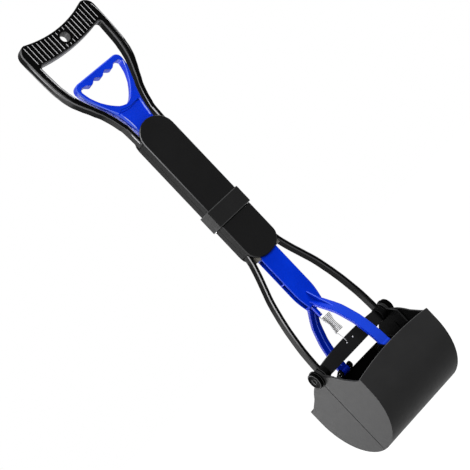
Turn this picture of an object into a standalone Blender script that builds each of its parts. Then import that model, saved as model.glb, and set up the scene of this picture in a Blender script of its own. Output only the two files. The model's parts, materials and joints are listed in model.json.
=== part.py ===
"""Jaw scoop on a long folding handle, for picking waste up without stooping.

Metres, +Z up along the tool. The origin is under the tip of the closed scoop.
X runs along the axis of the jaws, and -Y is the front.
"""

import math

import bmesh
import bpy
from mathutils import Vector

for old in list(bpy.data.objects):
    bpy.data.objects.remove(old, do_unlink=True)

# Clearance between pieces that seat on each other, overrun of every cutter
# past what it cuts, and depth by which joined shapes reach into each other.
GAP = 0.0003
OVERRUN = 0.004
FUSE = 0.0006

# Travel of the pull handle and of the rod that it moves
PULL_TRAVEL = 0.034

# Scoop: two jaws that meet below the axis
SCOOP_RADIUS = 0.066
SCOOP_STRAIGHT = 0.017
SCOOP_WIDTH = 0.1285
SCOOP_WALL = 0.002
RIM_DROP = 0.027
RIM_ARCH = 0.005
REAR_RIM_ARCH = 0.0006
EAR_RADIUS = 0.0090
EAR_WALL = 0.0018
HINGE_HEIGHT = SCOOP_RADIUS + SCOOP_STRAIGHT + RIM_DROP

# Pivots of the jaws, from the scoop's outer faces inwards and outwards
BOLT_RADIUS = 0.0029
CAP_RADIUS = 0.0106
CAP_WALL = 0.0064
CAP_CHAMFER = 0.0010
SLOT_WIDTH = 0.0022
SLOT_DEPTH = 0.0014
WASHER_RADIUS = 0.0080
WASHER_WALL = 0.0012
BOSS_RADIUS = 0.0090
BOSS_LENGTH = 0.0080

# Casing: two halves that meet at the seam, each of a front and a back shell
CASING_WIDTH = 0.0492
CASING_DEPTH = 0.0204
CASING_WALL = 0.0020
CASING_CHAMFER = 0.0009
UPPER_LENGTH = 0.149
LOWER_LENGTH = 0.058
UPPER_ROUND = 0.022
LOWER_ROUND = 0.017

# Fold hinge behind the casing
KNUCKLE_RADIUS = 0.0030
KNUCKLE_STAND = 0.0034
KNUCKLE_LENGTH = 0.0080
KNUCKLE_REACH = 0.0200
PIN_RADIUS = 0.0012

# Collar that locks the fold
COLLAR_LENGTH = 0.023
COLLAR_WALL = 0.0017

# Screws that hold the shells together
SCREW_RADIUS = 0.0015
SCREW_HEAD_RADIUS = 0.0030
SCREW_HEAD = 0.0013
SCREW_BOSS_RADIUS = 0.0036
UPPER_SCREW_RISE = 0.112
LOWER_SCREW_DROP = 0.023

# D-handle
HANDLE_LENGTH = 0.153
HANDLE_WIDTH = 0.1196
ARM_WIDTH = 0.0094
ARM_ROOT_WIDTH = 0.0058
ARM_DEPTH = 0.0122
ARM_CHAMFER = 0.0012
ARM_CHANNEL_WIDTH = 0.0044
ARM_CHANNEL_DEPTH = 0.0010
UPPER_TAIL = 0.052
CROWN_RADIUS = 0.0120
CROWN_SAG = 0.0085
GRIP_HEIGHT = 0.0270
GRIP_UNDER_SAG = 0.0055
GRIP_FILLET = 0.0040
HANG_HOLE_RADIUS = 0.0062
HANG_HOLE_DROP = 0.0130
HANG_RING = 0.0022
RIB_COUNT = 19
RIB_PITCH = 0.0056
RIB_WIDTH = 0.0013
RIB_DEPTH = 0.0012
RIB_MARGIN = 0.0022

# Pull handle: finger loop, neck and stem
LOOP_WIDTH = 0.0764
LOOP_DEPTH = 0.0100
LOOP_CHAMFER = 0.0013
LOOP_RISE = 0.0810
LOOP_CORNER = 0.0080
STEM_WIDTH = 0.0250
STEM_RECESS = 0.0014
STEM_RIM = 0.0032
OPENING_RISE = 0.0275
OPENING_HEIGHT = 0.0465
LOOP_BAND = 0.0044
FINGER_PITCH = 0.0170
FINGER_DEPTH = 0.0045
GUIDE_LENGTH = 0.060
GUIDE_WIDTH = 0.0180
PANEL_TOP_RISE = 0.0250
PANEL_SAG = 0.0030

# Cable that pulls the rod through the fold
CABLE_RADIUS = 0.0012

# Rod and fork
ROD_WIDTH = 0.0280
ROD_DEPTH = 0.0106
ROD_FLANGE = 0.0013
ROD_WEB = 0.0120
ROD_RIB = 0.0018
ROD_RIB_SHARE = 0.487
NECK_WIDTH = 0.0210
NECK_RISE = 0.062
NECK_TAPER = 0.022
ROD_GUIDE = 0.010
TINE_INSET = 0.0120
TINE_WIDTH = 0.0130
TINE_WALL = 0.0050
TINE_CHAMFER = 0.0007
EYE_RADIUS = 0.0039
LINK_RADIUS = 0.0016
LINK_DROP = 0.022
LINK_HEAD_RADIUS = 0.0030
LINK_HEAD = 0.0014
PEG_WIDTH = 0.0036
PEG_LENGTH = 0.0150
PEG_OFFSET = 0.0044
LUG_WALL = 0.0024
LUG_HEIGHT = 0.0080
LUG_SLOT = 0.00245

# Legs and crossbar
LEG_RISE = 0.198
LEG_WIDTH = 0.0050
LEG_DEPTH = 0.0114
LEG_CHAMFER = 0.0010
LEG_PAD_WIDTH = 0.0079
LEG_PAD_LENGTH = 0.034
CROSSBAR_HEIGHT = 0.0150
CROSSBAR_ARCH = 0.0036
CROSSBAR_DEPTH = 0.0050
SPRING_HOLE_RADIUS = 0.0011
SPRING_HOLE_OFFSET = 0.0055
SPRING_HOLE_RISE = 0.0055

# Return spring
WIRE_RADIUS = 0.0005
COIL_LOW_RADIUS = 0.0053
COIL_WAIST_RADIUS = 0.0039
COIL_TOP_RADIUS = 0.0062
COIL_PITCH = 0.0016
COIL_COUNT = 15
COIL_SIDES = 10
COIL_RISE = 0.0200

# Places worked out from the sizes above
SEAM_HEIGHT = HINGE_HEIGHT + LEG_RISE
CASING_TOP = SEAM_HEIGHT + UPPER_LENGTH
CASING_BOTTOM = SEAM_HEIGHT - LOWER_LENGTH
CASING_HALF = CASING_WIDTH / 2
CASING_FACE = CASING_DEPTH / 2
CAVITY_HALF = CASING_HALF - CASING_WALL
CAVITY_FACE = CASING_FACE - CASING_WALL
UPPER_SIDE_END = CASING_TOP - UPPER_ROUND + CASING_WALL
LOWER_SIDE_END = CASING_BOTTOM + LOWER_ROUND - CASING_WALL
CROWN_TOP = CASING_TOP + HANDLE_LENGTH
HINGE_Y = CASING_FACE + KNUCKLE_STAND
PLATE_OUTER = SCOOP_WIDTH / 2
PLATE_INNER = PLATE_OUTER - SCOOP_WALL
EAR_OUTER = PLATE_INNER - GAP
EAR_INNER = EAR_OUTER - EAR_WALL
WASHER_OUTER = EAR_INNER - GAP
WASHER_INNER = WASHER_OUTER - WASHER_WALL
LEG_OUTER = WASHER_INNER - GAP
BOSS_INNER = LEG_OUTER - BOSS_LENGTH
CAP_INNER = PLATE_OUTER + GAP
CAP_OUTER = CAP_INNER + CAP_WALL
BOLT_HOLE = BOLT_RADIUS + GAP
EAR_CLEAR = EAR_RADIUS + 2 * GAP
TAIL_OUTER = CAVITY_HALF - GAP
GUIDE_FACE = CAVITY_FACE - GAP
STEM_END = SEAM_HEIGHT + GAP
ROD_TOP = SEAM_HEIGHT - GAP - PULL_TRAVEL
LINK_HEIGHT = HINGE_HEIGHT - LINK_DROP
NECK_HEIGHT = HINGE_HEIGHT + NECK_RISE
TINE_REACH = SCOOP_RADIUS - TINE_INSET
PIN_HOLE = PIN_RADIUS + GAP
SCREW_HOLE = SCREW_RADIUS + GAP

# Empties that carry the pieces, each on its body's joint
CARRIERS = {
    "handle_half": (0, 0, 0),
    "collar_slide": (0, 0, SEAM_HEIGHT),
    "scoop_half": (0, HINGE_Y, SEAM_HEIGHT),
    "pull": (0, 0, SEAM_HEIGHT),
    "pull_fork": (0, 0, NECK_HEIGHT),
    "jaw_axis": (0, 0, HINGE_HEIGHT),
}
CARRIED_BY = {"scoop_half": "handle_half", "collar_slide": "handle_half", "pull": "handle_half"}
CARRIED_BY["pull_fork"] = "scoop_half"
CARRIED_BY["jaw_axis"] = "scoop_half"
empties = {}
for empty_name, place in CARRIERS.items():
    empty = bpy.data.objects.new(empty_name, None)
    bpy.context.collection.objects.link(empty)
    empties[empty_name] = empty
    carrier = CARRIED_BY.get(empty_name)
    if carrier:
        empty.parent = empties[carrier]
        empty.location = Vector(place) - Vector(CARRIERS[carrier])
    else:
        empty.location = place


def make_material(name, colour, roughness, metallic=0.0):
    made = bpy.data.materials.new(name)
    made.use_nodes = True
    shader = made.node_tree.nodes["Principled BSDF"]
    shader.inputs["Base Color"].default_value = (*colour, 1.0)
    shader.inputs["Roughness"].default_value = roughness
    shader.inputs["Metallic"].default_value = metallic
    return made


BLACK_GLOSS = make_material("black_gloss", (0.010, 0.010, 0.011), 0.22)
BLACK_MATT = make_material("black_matt", (0.016, 0.016, 0.017), 0.55)
BLACK_SCOOP = make_material("black_scoop", (0.022, 0.022, 0.023), 0.60)
BLUE = make_material("blue", (0.0, 0.035, 0.62), 0.28)
STEEL = make_material("steel", (0.62, 0.62, 0.62), 0.30, 1.0)
BLACK_PIVOT = make_material("black_pivot", (0.008, 0.008, 0.009), 0.25)


def smooth_line(points, steps):
    """Points along a smooth curve through these points, with both ends kept."""
    line = []
    padded = [points[0], *points, points[-1]]
    for index in range(len(points) - 1):
        before, start, end, after = (Vector(p) for p in padded[index : index + 4])
        for step in range(steps):
            t = step / steps
            bend = 2 * start + (end - before) * t
            bend += (2 * before - 5 * start + 4 * end - after) * t * t
            bend += (3 * start - before - 3 * end + after) * t * t * t
            line.append(tuple(bend / 2))
    line.append(tuple(points[-1]))
    return line


def offset_line(points, distance):
    """The line moved to its left by this distance."""
    moved = []
    for index, point in enumerate(points):
        ahead = Vector(points[min(index + 1, len(points) - 1)])
        behind = Vector(points[max(index - 1, 0)])
        along = (ahead - behind).normalized()
        moved.append((point[0] - along.y * distance, point[1] + along.x * distance))
    return moved


def band(points, width):
    """Closed outline of a band of this width along the line."""
    return offset_line(points, width / 2) + offset_line(points, -width / 2)[::-1]


def arc(centre, radius, start, end, steps):
    """Points on an arc between two angles in degrees, with both ends."""
    turns = [math.radians(start + (end - start) * i / steps) for i in range(steps + 1)]
    return [(centre[0] + radius * math.cos(a), centre[1] + radius * math.sin(a)) for a in turns]


def circle(centre, radius, sides):
    return arc(centre, radius, 0, 360, sides)[:-1]


def mirrored(points):
    return [(-u, v) for u, v in points]


def rectangle(u_low, u_high, v_low, v_high):
    return [(u_low, v_low), (u_high, v_low), (u_high, v_high), (u_low, v_high)]


def put(axis, along, u, v):
    places = {"X": (along, u, v), "Y": (u, along, v), "Z": (u, v, along)}
    return Vector(places[axis])


def add_prism(shape, outline, axis, low, high, chamfer=0.0, caps=("low", "high")):
    """Extrudes an outline along an axis, with its end edges cut by the chamfer."""
    corners = [shape.verts.new(put(axis, low, u, v)) for u, v in outline]
    face = shape.faces.new(corners)
    made = bmesh.ops.extrude_face_region(shape, geom=[face])["geom"]
    moved = [item for item in made if isinstance(item, bmesh.types.BMVert)]
    bmesh.ops.translate(shape, verts=moved, vec=put(axis, high - low, 0, 0))
    if chamfer:
        lower = set(corners) if "low" in caps else set()
        upper = set(moved) if "high" in caps else set()
        edges = [e for e in shape.edges if set(e.verts) <= lower or set(e.verts) <= upper]
        bmesh.ops.bevel(
            shape, geom=edges, offset=chamfer, segments=1, affect="EDGES", clamp_overlap=False
        )


def finish(name, shape, carrier, material=None, smooth=0):
    """Makes the object. Without a material it is a cutter or a joined helper."""
    bmesh.ops.recalc_face_normals(shape, faces=shape.faces)
    origin = Vector(CARRIERS[carrier])
    bmesh.ops.translate(shape, verts=shape.verts, vec=-origin)
    mesh = bpy.data.meshes.new(name)
    shape.to_mesh(mesh)
    shape.free()
    made = bpy.data.objects.new(name, mesh)
    bpy.context.collection.objects.link(made)
    made.parent = empties[carrier]
    if material is None:
        made.hide_render = True
        made.display_type = "WIRE"
    else:
        mesh.materials.append(material)
    if smooth:
        mesh.shade_smooth()
        mesh.set_sharp_from_angle(angle=math.radians(smooth))
    return made


def boolean(body, tool, operation):
    modifier = body.modifiers.new(operation.title() + " " + tool.name, "BOOLEAN")
    modifier.operation = operation
    modifier.object = tool


def cut(body, tool):
    boolean(body, tool, "DIFFERENCE")


def join(body, tool):
    boolean(body, tool, "UNION")


def add_turned(shape, profile, axis, centre, sides, closed=False):
    """Turns a profile of (place along the axis, radius) round the axis."""
    points = []
    for along, radius in profile:
        points.append(shape.verts.new(put(axis, along, centre[0] + radius, centre[1])))
    pairs = list(zip(points, points[1:]))
    if closed:
        pairs.append((points[-1], points[0]))
    edges = [shape.edges.new(pair) for pair in pairs]
    bmesh.ops.spin(
        shape,
        geom=points + edges,
        cent=put(axis, 0, *centre),
        axis=put(axis, 1, 0, 0),
        angle=math.tau,
        steps=sides,
        use_merge=True,
    )
    bmesh.ops.remove_doubles(shape, verts=shape.verts, dist=GAP / 30)


def add_bar(shape, axis, centre, radius, low, high, sides):
    """A plain round bar between two places along its axis."""
    add_prism(shape, circle(centre, radius, sides), axis, low, high)


def new_shape():
    return bmesh.new()


# Casing shells
ROUND_STEPS = 12
SCREW_SIDES = 14
SCREW_SKIN = 0.0010


def shell_outline(seam_end, tip, round_length):
    """Front view of a shell: square at the seam, a half-ellipse at its far end."""
    toward = 1 if tip > seam_end else -1
    start = tip - toward * round_length
    curve = []
    for step in range(ROUND_STEPS + 1):
        turn = math.pi * step / ROUND_STEPS
        curve.append((CASING_HALF * math.cos(turn), start + toward * round_length * math.sin(turn)))
    return [(-CASING_HALF, seam_end), (CASING_HALF, seam_end), *curve]


def make_shell(name, carrier, side, seam_end, tip, round_length, side_end, screw, tail_face):
    """One shell. side is -1 in front and 1 behind, and screw is the screws' x and z."""
    toward = 1 if tip > seam_end else -1
    shape = new_shape()
    outline = shell_outline(seam_end, tip, round_length)
    face = side * CASING_FACE
    add_prism(shape, outline, "Y", side * GAP / 2, face, CASING_CHAMFER, ("high",))
    shell = finish(name, shape, carrier, BLACK_MATT)

    far = tip + toward * OVERRUN
    near = seam_end - toward * OVERRUN
    wide = CASING_HALF + OVERRUN
    cavity = [(-CAVITY_HALF, near), (CAVITY_HALF, near), (CAVITY_HALF, side_end)]
    cavity += [(wide, side_end), (wide, far), (-wide, far), (-wide, side_end)]
    cavity += [(-CAVITY_HALF, side_end)]
    shape = new_shape()
    add_prism(shape, cavity, "Y", -side * OVERRUN, side * CAVITY_FACE)
    cut(shell, finish(name + "_cavity", shape, carrier))

    seat = side * (tail_face + GAP)
    for index, x in enumerate((-screw[0], screw[0])):
        shape = new_shape()
        inside = side * (CAVITY_FACE + FUSE)
        add_bar(shape, "Y", (x, screw[1]), SCREW_BOSS_RADIUS, seat, inside, SCREW_SIDES)
        join(shell, finish(f"{name}_boss_{index}", shape, carrier))
    shape = new_shape()
    for x in (-screw[0], screw[0]):
        centre = (x, screw[1])
        if side < 0:
            end = -CASING_FACE + SCREW_SKIN
            add_bar(shape, "Y", centre, SCREW_HOLE, end, seat + OVERRUN, SCREW_SIDES)
        else:
            add_bar(shape, "Y", centre, SCREW_HOLE, seat - OVERRUN, face + OVERRUN, SCREW_SIDES)
    cut(shell, finish(name + "_screw_holes", shape, carrier))
    if side > 0:
        shape = new_shape()
        floor = face - SCREW_HEAD - GAP
        for x in (-screw[0], screw[0]):
            recess = SCREW_HEAD_RADIUS + GAP
            add_bar(shape, "Y", (x, screw[1]), recess, floor, face + OVERRUN, SCREW_SIDES)
        cut(shell, finish(name + "_screw_recesses", shape, carrier))
    return shell


def make_knuckle(shell, name, carrier, toward, x_low, x_high):
    """A barrel on the back shell at the seam, pierced later for the pin."""
    edge = SEAM_HEIGHT + toward * GAP / 2
    root = CASING_FACE - CASING_WALL / 2
    outline = [(root, edge)]
    outline += arc((HINGE_Y, SEAM_HEIGHT), KNUCKLE_RADIUS, 180, 180 + toward * 270, 12)
    outline += [(root, SEAM_HEIGHT + toward * KNUCKLE_RADIUS)]
    shape = new_shape()
    add_prism(shape, outline, "X", x_low, x_high)
    join(shell, finish(name, shape, carrier))


def pierce_for_pin(shell, name, carrier):
    shape = new_shape()
    reach = KNUCKLE_REACH + OVERRUN
    add_bar(shape, "X", (HINGE_Y, SEAM_HEIGHT), PIN_HOLE, -reach, reach, 12)
    cut(shell, finish(name, shape, carrier))


UPPER_SCREW = (TAIL_OUTER - SCREW_BOSS_RADIUS - GAP, SEAM_HEIGHT + UPPER_SCREW_RISE)
LOWER_SCREW = (TAIL_OUTER - SCREW_BOSS_RADIUS - GAP, SEAM_HEIGHT - LOWER_SCREW_DROP)
UPPER_SEAM = SEAM_HEIGHT + GAP / 2
LOWER_SEAM = SEAM_HEIGHT - GAP / 2
for shell_side, place in ((-1, "front"), (1, "back")):
    upper_shell = make_shell(
        "upper_casing_" + place, "handle_half", shell_side, UPPER_SEAM, CASING_TOP,
        UPPER_ROUND, UPPER_SIDE_END, UPPER_SCREW, ARM_DEPTH / 2,
    )
    lower_shell = make_shell(
        "lower_casing_" + place, "scoop_half", shell_side, LOWER_SEAM, CASING_BOTTOM,
        LOWER_ROUND, LOWER_SIDE_END, LOWER_SCREW, LEG_DEPTH / 2,
    )
middle_reach = KNUCKLE_REACH - KNUCKLE_LENGTH
make_knuckle(upper_shell, "knuckle_left", "handle_half", 1, -KNUCKLE_REACH, -middle_reach)
make_knuckle(upper_shell, "knuckle_right", "handle_half", 1, middle_reach, KNUCKLE_REACH)
make_knuckle(lower_shell, "knuckle_middle", "scoop_half", -1, GAP - middle_reach, middle_reach - GAP)
pierce_for_pin(upper_shell, "upper_pin_hole", "handle_half")
pierce_for_pin(lower_shell, "lower_pin_hole", "scoop_half")

pin_shape = new_shape()
pin_end = KNUCKLE_REACH + PIN_RADIUS
add_prism(
    pin_shape, circle((HINGE_Y, SEAM_HEIGHT), PIN_RADIUS, 12), "X", -pin_end, pin_end, PIN_RADIUS / 4
)
finish("fold_pin", pin_shape, "handle_half", STEEL, 40)


def make_screw(name, carrier, centre):
    neck = CASING_FACE - SCREW_HEAD
    tip = -CASING_FACE + SCREW_SKIN + GAP
    profile = [(tip, 0), (tip, SCREW_RADIUS), (neck, SCREW_RADIUS), (neck, SCREW_HEAD_RADIUS)]
    profile += [(CASING_FACE, SCREW_HEAD_RADIUS), (CASING_FACE, 0)]
    shape = new_shape()
    add_turned(shape, profile, "Y", centre, SCREW_SIDES)
    finish(name, shape, carrier, STEEL, 40)


make_screw("upper_screw_left", "handle_half", (-UPPER_SCREW[0], UPPER_SCREW[1]))
make_screw("upper_screw_right", "handle_half", UPPER_SCREW)
make_screw("lower_screw_left", "scoop_half", (-LOWER_SCREW[0], LOWER_SCREW[1]))
make_screw("lower_screw_right", "scoop_half", LOWER_SCREW)

# Collar: a sleeve round the casing just above the seam, notched for the knuckles
COLLAR_CHAMFER = 0.0004
collar_low = SEAM_HEIGHT + GAP
collar_high = collar_low + COLLAR_LENGTH
sleeve_x = CASING_HALF + GAP
sleeve_y = CASING_FACE + GAP


def eight_sided(half_x, half_y, corner):
    """A rectangle round the origin with its corners cut off."""
    quarter = [(half_x, half_y - corner), (half_x - corner, half_y)]
    return (
        quarter
        + [(-u, v) for u, v in quarter[::-1]]
        + [(-u, -v) for u, v in quarter]
        + [(u, -v) for u, v in quarter[::-1]]
    )


collar_shape = new_shape()
collar_x = sleeve_x + COLLAR_WALL
collar_y = sleeve_y + COLLAR_WALL
collar_outline = eight_sided(collar_x, collar_y, CASING_CHAMFER + COLLAR_CHAMFER)
add_prism(collar_shape, collar_outline, "Z", collar_low, collar_high, COLLAR_CHAMFER)
collar = finish("lock_collar", collar_shape, "collar_slide", BLACK_MATT)
collar_tool = new_shape()
add_prism(
    collar_tool, eight_sided(sleeve_x, sleeve_y, CASING_CHAMFER / 2), "Z",
    collar_low - OVERRUN, collar_high + OVERRUN,
)
cut(collar, finish("collar_sleeve", collar_tool, "collar_slide"))
collar_tool = new_shape()
notch = rectangle(
    -KNUCKLE_REACH - PIN_RADIUS - GAP, KNUCKLE_REACH + PIN_RADIUS + GAP,
    CASING_FACE - GAP, collar_y + OVERRUN,
)
notch_top = SEAM_HEIGHT + KNUCKLE_RADIUS + 2 * GAP
add_prism(collar_tool, notch, "Z", collar_low - OVERRUN, notch_top)
cut(collar, finish("collar_notch", collar_tool, "collar_slide"))

# D-handle: two arms that leave the upper casing, and a ribbed grip between them
HANDLE_HALF = HANDLE_WIDTH / 2
ARM_STEPS = 2
GRIP_STEPS = 10
# Height above the casing, and the way out from the casing's side to the handle's full width,
# as shares of the handle's length and of that way
arm_shares = (
    (0.035, 0.0249), (0.072, 0.0656), (0.111, 0.1081), (0.150, 0.1608), (0.190, 0.2253),
    (0.229, 0.2967), (0.268, 0.4020), (0.307, 0.4886), (0.346, 0.5940), (0.386, 0.6874),
    (0.425, 0.7774), (0.464, 0.8386), (0.503, 0.8879), (0.542, 0.9168), (0.582, 0.9490),
    (0.660, 0.9745), (0.740, 0.9915), (0.850, 1.0000),
)
# Width of an arm between its root width and its full width, at each of those points
arm_growth_shares = (
    0.0, 0.0, 0.0, 0.0, 0.02, 0.06, 0.20, 0.36, 0.52, 0.68,
    0.84, 0.95, 1.0, 1.0, 1.0, 1.0, 1.0, 1.0,
)
upper_tail_end = CASING_TOP - UPPER_TAIL
arm_shoulder = UPPER_SIDE_END + GAP
arm_outer = [(CASING_HALF - GAP, arm_shoulder)]
arm_widths = [ARM_ROOT_WIDTH]
for (rise, reach), growth in zip(arm_shares, arm_growth_shares):
    arm_x = CASING_HALF + (HANDLE_HALF - CASING_HALF) * reach
    arm_outer.append((arm_x, CASING_TOP + HANDLE_LENGTH * rise))
    arm_widths.append(ARM_ROOT_WIDTH + (ARM_WIDTH - ARM_ROOT_WIDTH) * growth)
arm_inner = []
arm_middle = []
for index, point in enumerate(arm_outer):
    ahead = Vector(arm_outer[min(index + 1, len(arm_outer) - 1)])
    along = (ahead - Vector(arm_outer[max(index - 1, 0)])).normalized()
    width = arm_widths[index]
    arm_inner.append((point[0] - along.y * width, point[1] + along.x * width))
    arm_middle.append((point[0] - along.y * width / 2, point[1] + along.x * width / 2))
arm_outer_line = smooth_line(arm_outer, ARM_STEPS)
arm_inner_line = smooth_line(arm_inner, ARM_STEPS)

crown_corner = (HANDLE_HALF - CROWN_RADIUS, CROWN_TOP - CROWN_RADIUS)
under_end = CROWN_TOP - CROWN_SAG - GRIP_HEIGHT + GRIP_UNDER_SAG
under_reach = arm_inner[-1][0]


def crown_line(x):
    """Height of the grip's top edge at x."""
    over = abs(x) - crown_corner[0]
    if over > 0:
        return crown_corner[1] + math.sqrt(max(CROWN_RADIUS**2 - over**2, 0))
    return CROWN_TOP - CROWN_SAG * (1 - (x / crown_corner[0]) ** 2)


def under_line(x):
    """Height of the grip's lower edge at x."""
    return under_end - GRIP_UNDER_SAG * (1 - min(abs(x) / under_reach, 1) ** 2)


half = [(TAIL_OUTER, upper_tail_end), (TAIL_OUTER, arm_shoulder)]
half += arm_outer_line
half += arc(crown_corner, CROWN_RADIUS, 0, 90, 6)
half += [(crown_corner[0] * (1 - i / GRIP_STEPS), 0) for i in range(1, GRIP_STEPS + 1)]
half = [(x, z if z else crown_line(x)) for x, z in half]
fillet_centre = (under_reach - GRIP_FILLET, under_line(under_reach - GRIP_FILLET) - GRIP_FILLET)
tail_inner = TAIL_OUTER - 2 * (SCREW_BOSS_RADIUS - GAP)
inside = [(tail_inner, upper_tail_end), (tail_inner, arm_shoulder - CASING_WALL)]
inside += [p for p in arm_inner_line if p[1] < fillet_centre[1]]
inside += arc(fillet_centre, GRIP_FILLET, 0, 90, 4)
for step in range(1, GRIP_STEPS + 1):
    x = fillet_centre[0] * (1 - step / GRIP_STEPS)
    inside.append((x, under_line(x)))
frame_outline = half + mirrored(half[:-1])[::-1] + mirrored(inside[:-1]) + inside[::-1]
shape = new_shape()
add_prism(shape, frame_outline, "Y", -ARM_DEPTH / 2, ARM_DEPTH / 2, ARM_CHAMFER)
upper_frame = finish("upper_frame", shape, "handle_half", BLACK_GLOSS)

# Channel along the front and the back of each arm
channel_line = smooth_line([p for p in arm_middle if p[1] < under_end], ARM_STEPS)[2:]
channel = band(channel_line, ARM_CHANNEL_WIDTH)
channel_floor = ARM_DEPTH / 2 - ARM_CHANNEL_DEPTH
shape = new_shape()
for side in (-1, 1):
    for outline in (channel, mirrored(channel)):
        add_prism(shape, outline, "Y", side * channel_floor, side * (channel_floor + OVERRUN))
cut(upper_frame, finish("arm_channels", shape, "handle_half"))

# Hang hole and screw holes
HANG_HEIGHT = CROWN_TOP - CROWN_SAG - HANG_HOLE_DROP
shape = new_shape()
reach = ARM_DEPTH / 2 + OVERRUN
add_bar(shape, "Y", (0, HANG_HEIGHT), HANG_HOLE_RADIUS, -reach, reach, 20)
for x in (-UPPER_SCREW[0], UPPER_SCREW[0]):
    add_bar(shape, "Y", (x, UPPER_SCREW[1]), SCREW_HOLE, -reach, reach, SCREW_SIDES)
cut(upper_frame, finish("upper_frame_holes", shape, "handle_half"))

# Pockets between the ribs of the grip, which leave a flat ring round the hang hole
rib_floor = ARM_DEPTH / 2 - RIB_DEPTH
ring_radius = HANG_HOLE_RADIUS + HANG_RING
shape = new_shape()
for index in range(RIB_COUNT - 1):
    left = (index - (RIB_COUNT - 1) / 2) * RIB_PITCH + RIB_WIDTH / 2
    right = left + RIB_PITCH - RIB_WIDTH
    low = (under_line(left) + RIB_MARGIN, under_line(right) + RIB_MARGIN)
    high = (crown_line(left) - RIB_MARGIN, crown_line(right) - RIB_MARGIN)
    nearest = min(abs(left), abs(right))
    spans = [(low, high)]
    if nearest < ring_radius:
        ring_half = math.sqrt(ring_radius**2 - nearest**2)
        ring_low = HANG_HEIGHT - ring_half
        ring_high = HANG_HEIGHT + ring_half
        spans = [(low, (ring_low, ring_low)), ((ring_high, ring_high), high)]
    for bottom, top in spans:
        if min(top) - max(bottom) < RIB_WIDTH:
            continue
        pocket = [(left, bottom[0]), (right, bottom[1]), (right, top[1]), (left, top[0])]
        for side in (-1, 1):
            add_prism(shape, pocket, "Y", side * rib_floor, side * (rib_floor + OVERRUN))
cut(upper_frame, finish("grip_pockets", shape, "handle_half"))

# Pull handle: finger loop, neck with a panel on each face, and stem
LOOP_HALF = LOOP_WIDTH / 2
STEM_HALF = STEM_WIDTH / 2
OPENING_HALF = LOOP_HALF - LOOP_BAND
loop_top = CASING_TOP + LOOP_RISE
# Height above the casing and half-width, as shares of the loop's rise and half-width
loop_shares = (
    (0.02, 0.400), (0.074, 0.430), (0.153, 0.450), (0.228, 0.490), (0.305, 0.535),
    (0.383, 0.600), (0.457, 0.660), (0.531, 0.745), (0.611, 0.815), (0.688, 0.890),
    (0.765, 0.955), (0.840, 0.985),
)
side_line = [(STEM_HALF, CASING_TOP - UPPER_ROUND)]
for rise, reach in loop_shares:
    side_line.append((LOOP_HALF * reach, CASING_TOP + LOOP_RISE * rise))
side_line = smooth_line(side_line, 2)
loop_corner = (LOOP_HALF - LOOP_CORNER, loop_top - LOOP_CORNER)
half = [(STEM_HALF, STEM_END)] + side_line
half += arc(loop_corner, LOOP_CORNER, 0, 90, 6)
loop_outline = half + mirrored(half)[::-1]
shape = new_shape()
add_prism(shape, loop_outline, "Y", -LOOP_DEPTH / 2, LOOP_DEPTH / 2, LOOP_CHAMFER)
pull_handle = finish("pull_handle", shape, "pull", BLUE)

# Opening for the fingers, as shares of its height and half-width, with three bumps on top
opening_shares = (
    (0.036, 0.170), (0.080, 0.300), (0.165, 0.438), (0.230, 0.530), (0.295, 0.610),
    (0.424, 0.751), (0.553, 0.849), (0.682, 0.929), (0.811, 0.976), (0.900, 1.0),
)
opening_low = CASING_TOP + OPENING_RISE
opening_top = opening_low + OPENING_HEIGHT
half = [(0, opening_low)]
for rise, reach in opening_shares:
    half.append((OPENING_HALF * reach, opening_low + OPENING_HEIGHT * rise))
opening_corner = OPENING_HEIGHT * (1 - opening_shares[-1][0])
half = smooth_line(half, 1)
corner_centre = (OPENING_HALF - opening_corner, opening_top - opening_corner)
half += arc(corner_centre, opening_corner, 0, 90, 4)[1:]
finger_steps = 24
fingers = []
for step in range(finger_steps + 1):
    x = FINGER_PITCH * (1.5 - 3 * step / finger_steps)
    bump = (1 + math.cos(math.tau * x / FINGER_PITCH)) / 2
    fingers.append((x, opening_top - FINGER_DEPTH * bump))
opening_outline = half + fingers[1:-1] + mirrored(half[1:])[::-1]
shape = new_shape()
loop_reach = LOOP_DEPTH / 2 + OVERRUN
add_prism(shape, opening_outline, "Y", -loop_reach, loop_reach)
cut(pull_handle, finish("finger_opening", shape, "pull"))

panel_top = CASING_TOP + PANEL_TOP_RISE
panel_low = STEM_END + STEM_RIM
rim_line = offset_line([(STEM_HALF, panel_low)] + side_line, STEM_RIM)
half = [p for p in rim_line if p[1] < panel_top - PANEL_SAG]
half[0] = (STEM_HALF - STEM_RIM, panel_low)
panel_reach = half[-1][0]
for step in range(7):
    x = panel_reach * (1 - step / 6)
    half.append((x, panel_top - PANEL_SAG * (1 - (x / panel_reach) ** 2)))
panel = half + mirrored(half[:-1])[::-1]
shape = new_shape()
panel_floor = LOOP_DEPTH / 2 - STEM_RECESS
for side in (-1, 1):
    add_prism(shape, panel, "Y", side * panel_floor, side * (panel_floor + OVERRUN))
cut(pull_handle, finish("neck_panels", shape, "pull"))

# Guide on the stem that runs between the faces of the upper casing
shape = new_shape()
guide_low = STEM_END + STEM_RIM + UPPER_ROUND / 2
guide = rectangle(-GUIDE_WIDTH / 2, GUIDE_WIDTH / 2, guide_low, guide_low + GUIDE_LENGTH)
add_prism(shape, guide, "Y", -GUIDE_FACE, GUIDE_FACE)
join(pull_handle, finish("stem_guide", shape, "pull"))

# Cable from the stem to the rod, which bends where the casing folds
shape = new_shape()
add_bar(shape, "Z", (0, 0), CABLE_RADIUS, ROD_TOP + GAP, STEM_END - GAP, 10)
finish("pull_cable", shape, "pull", STEEL, 40)

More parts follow.
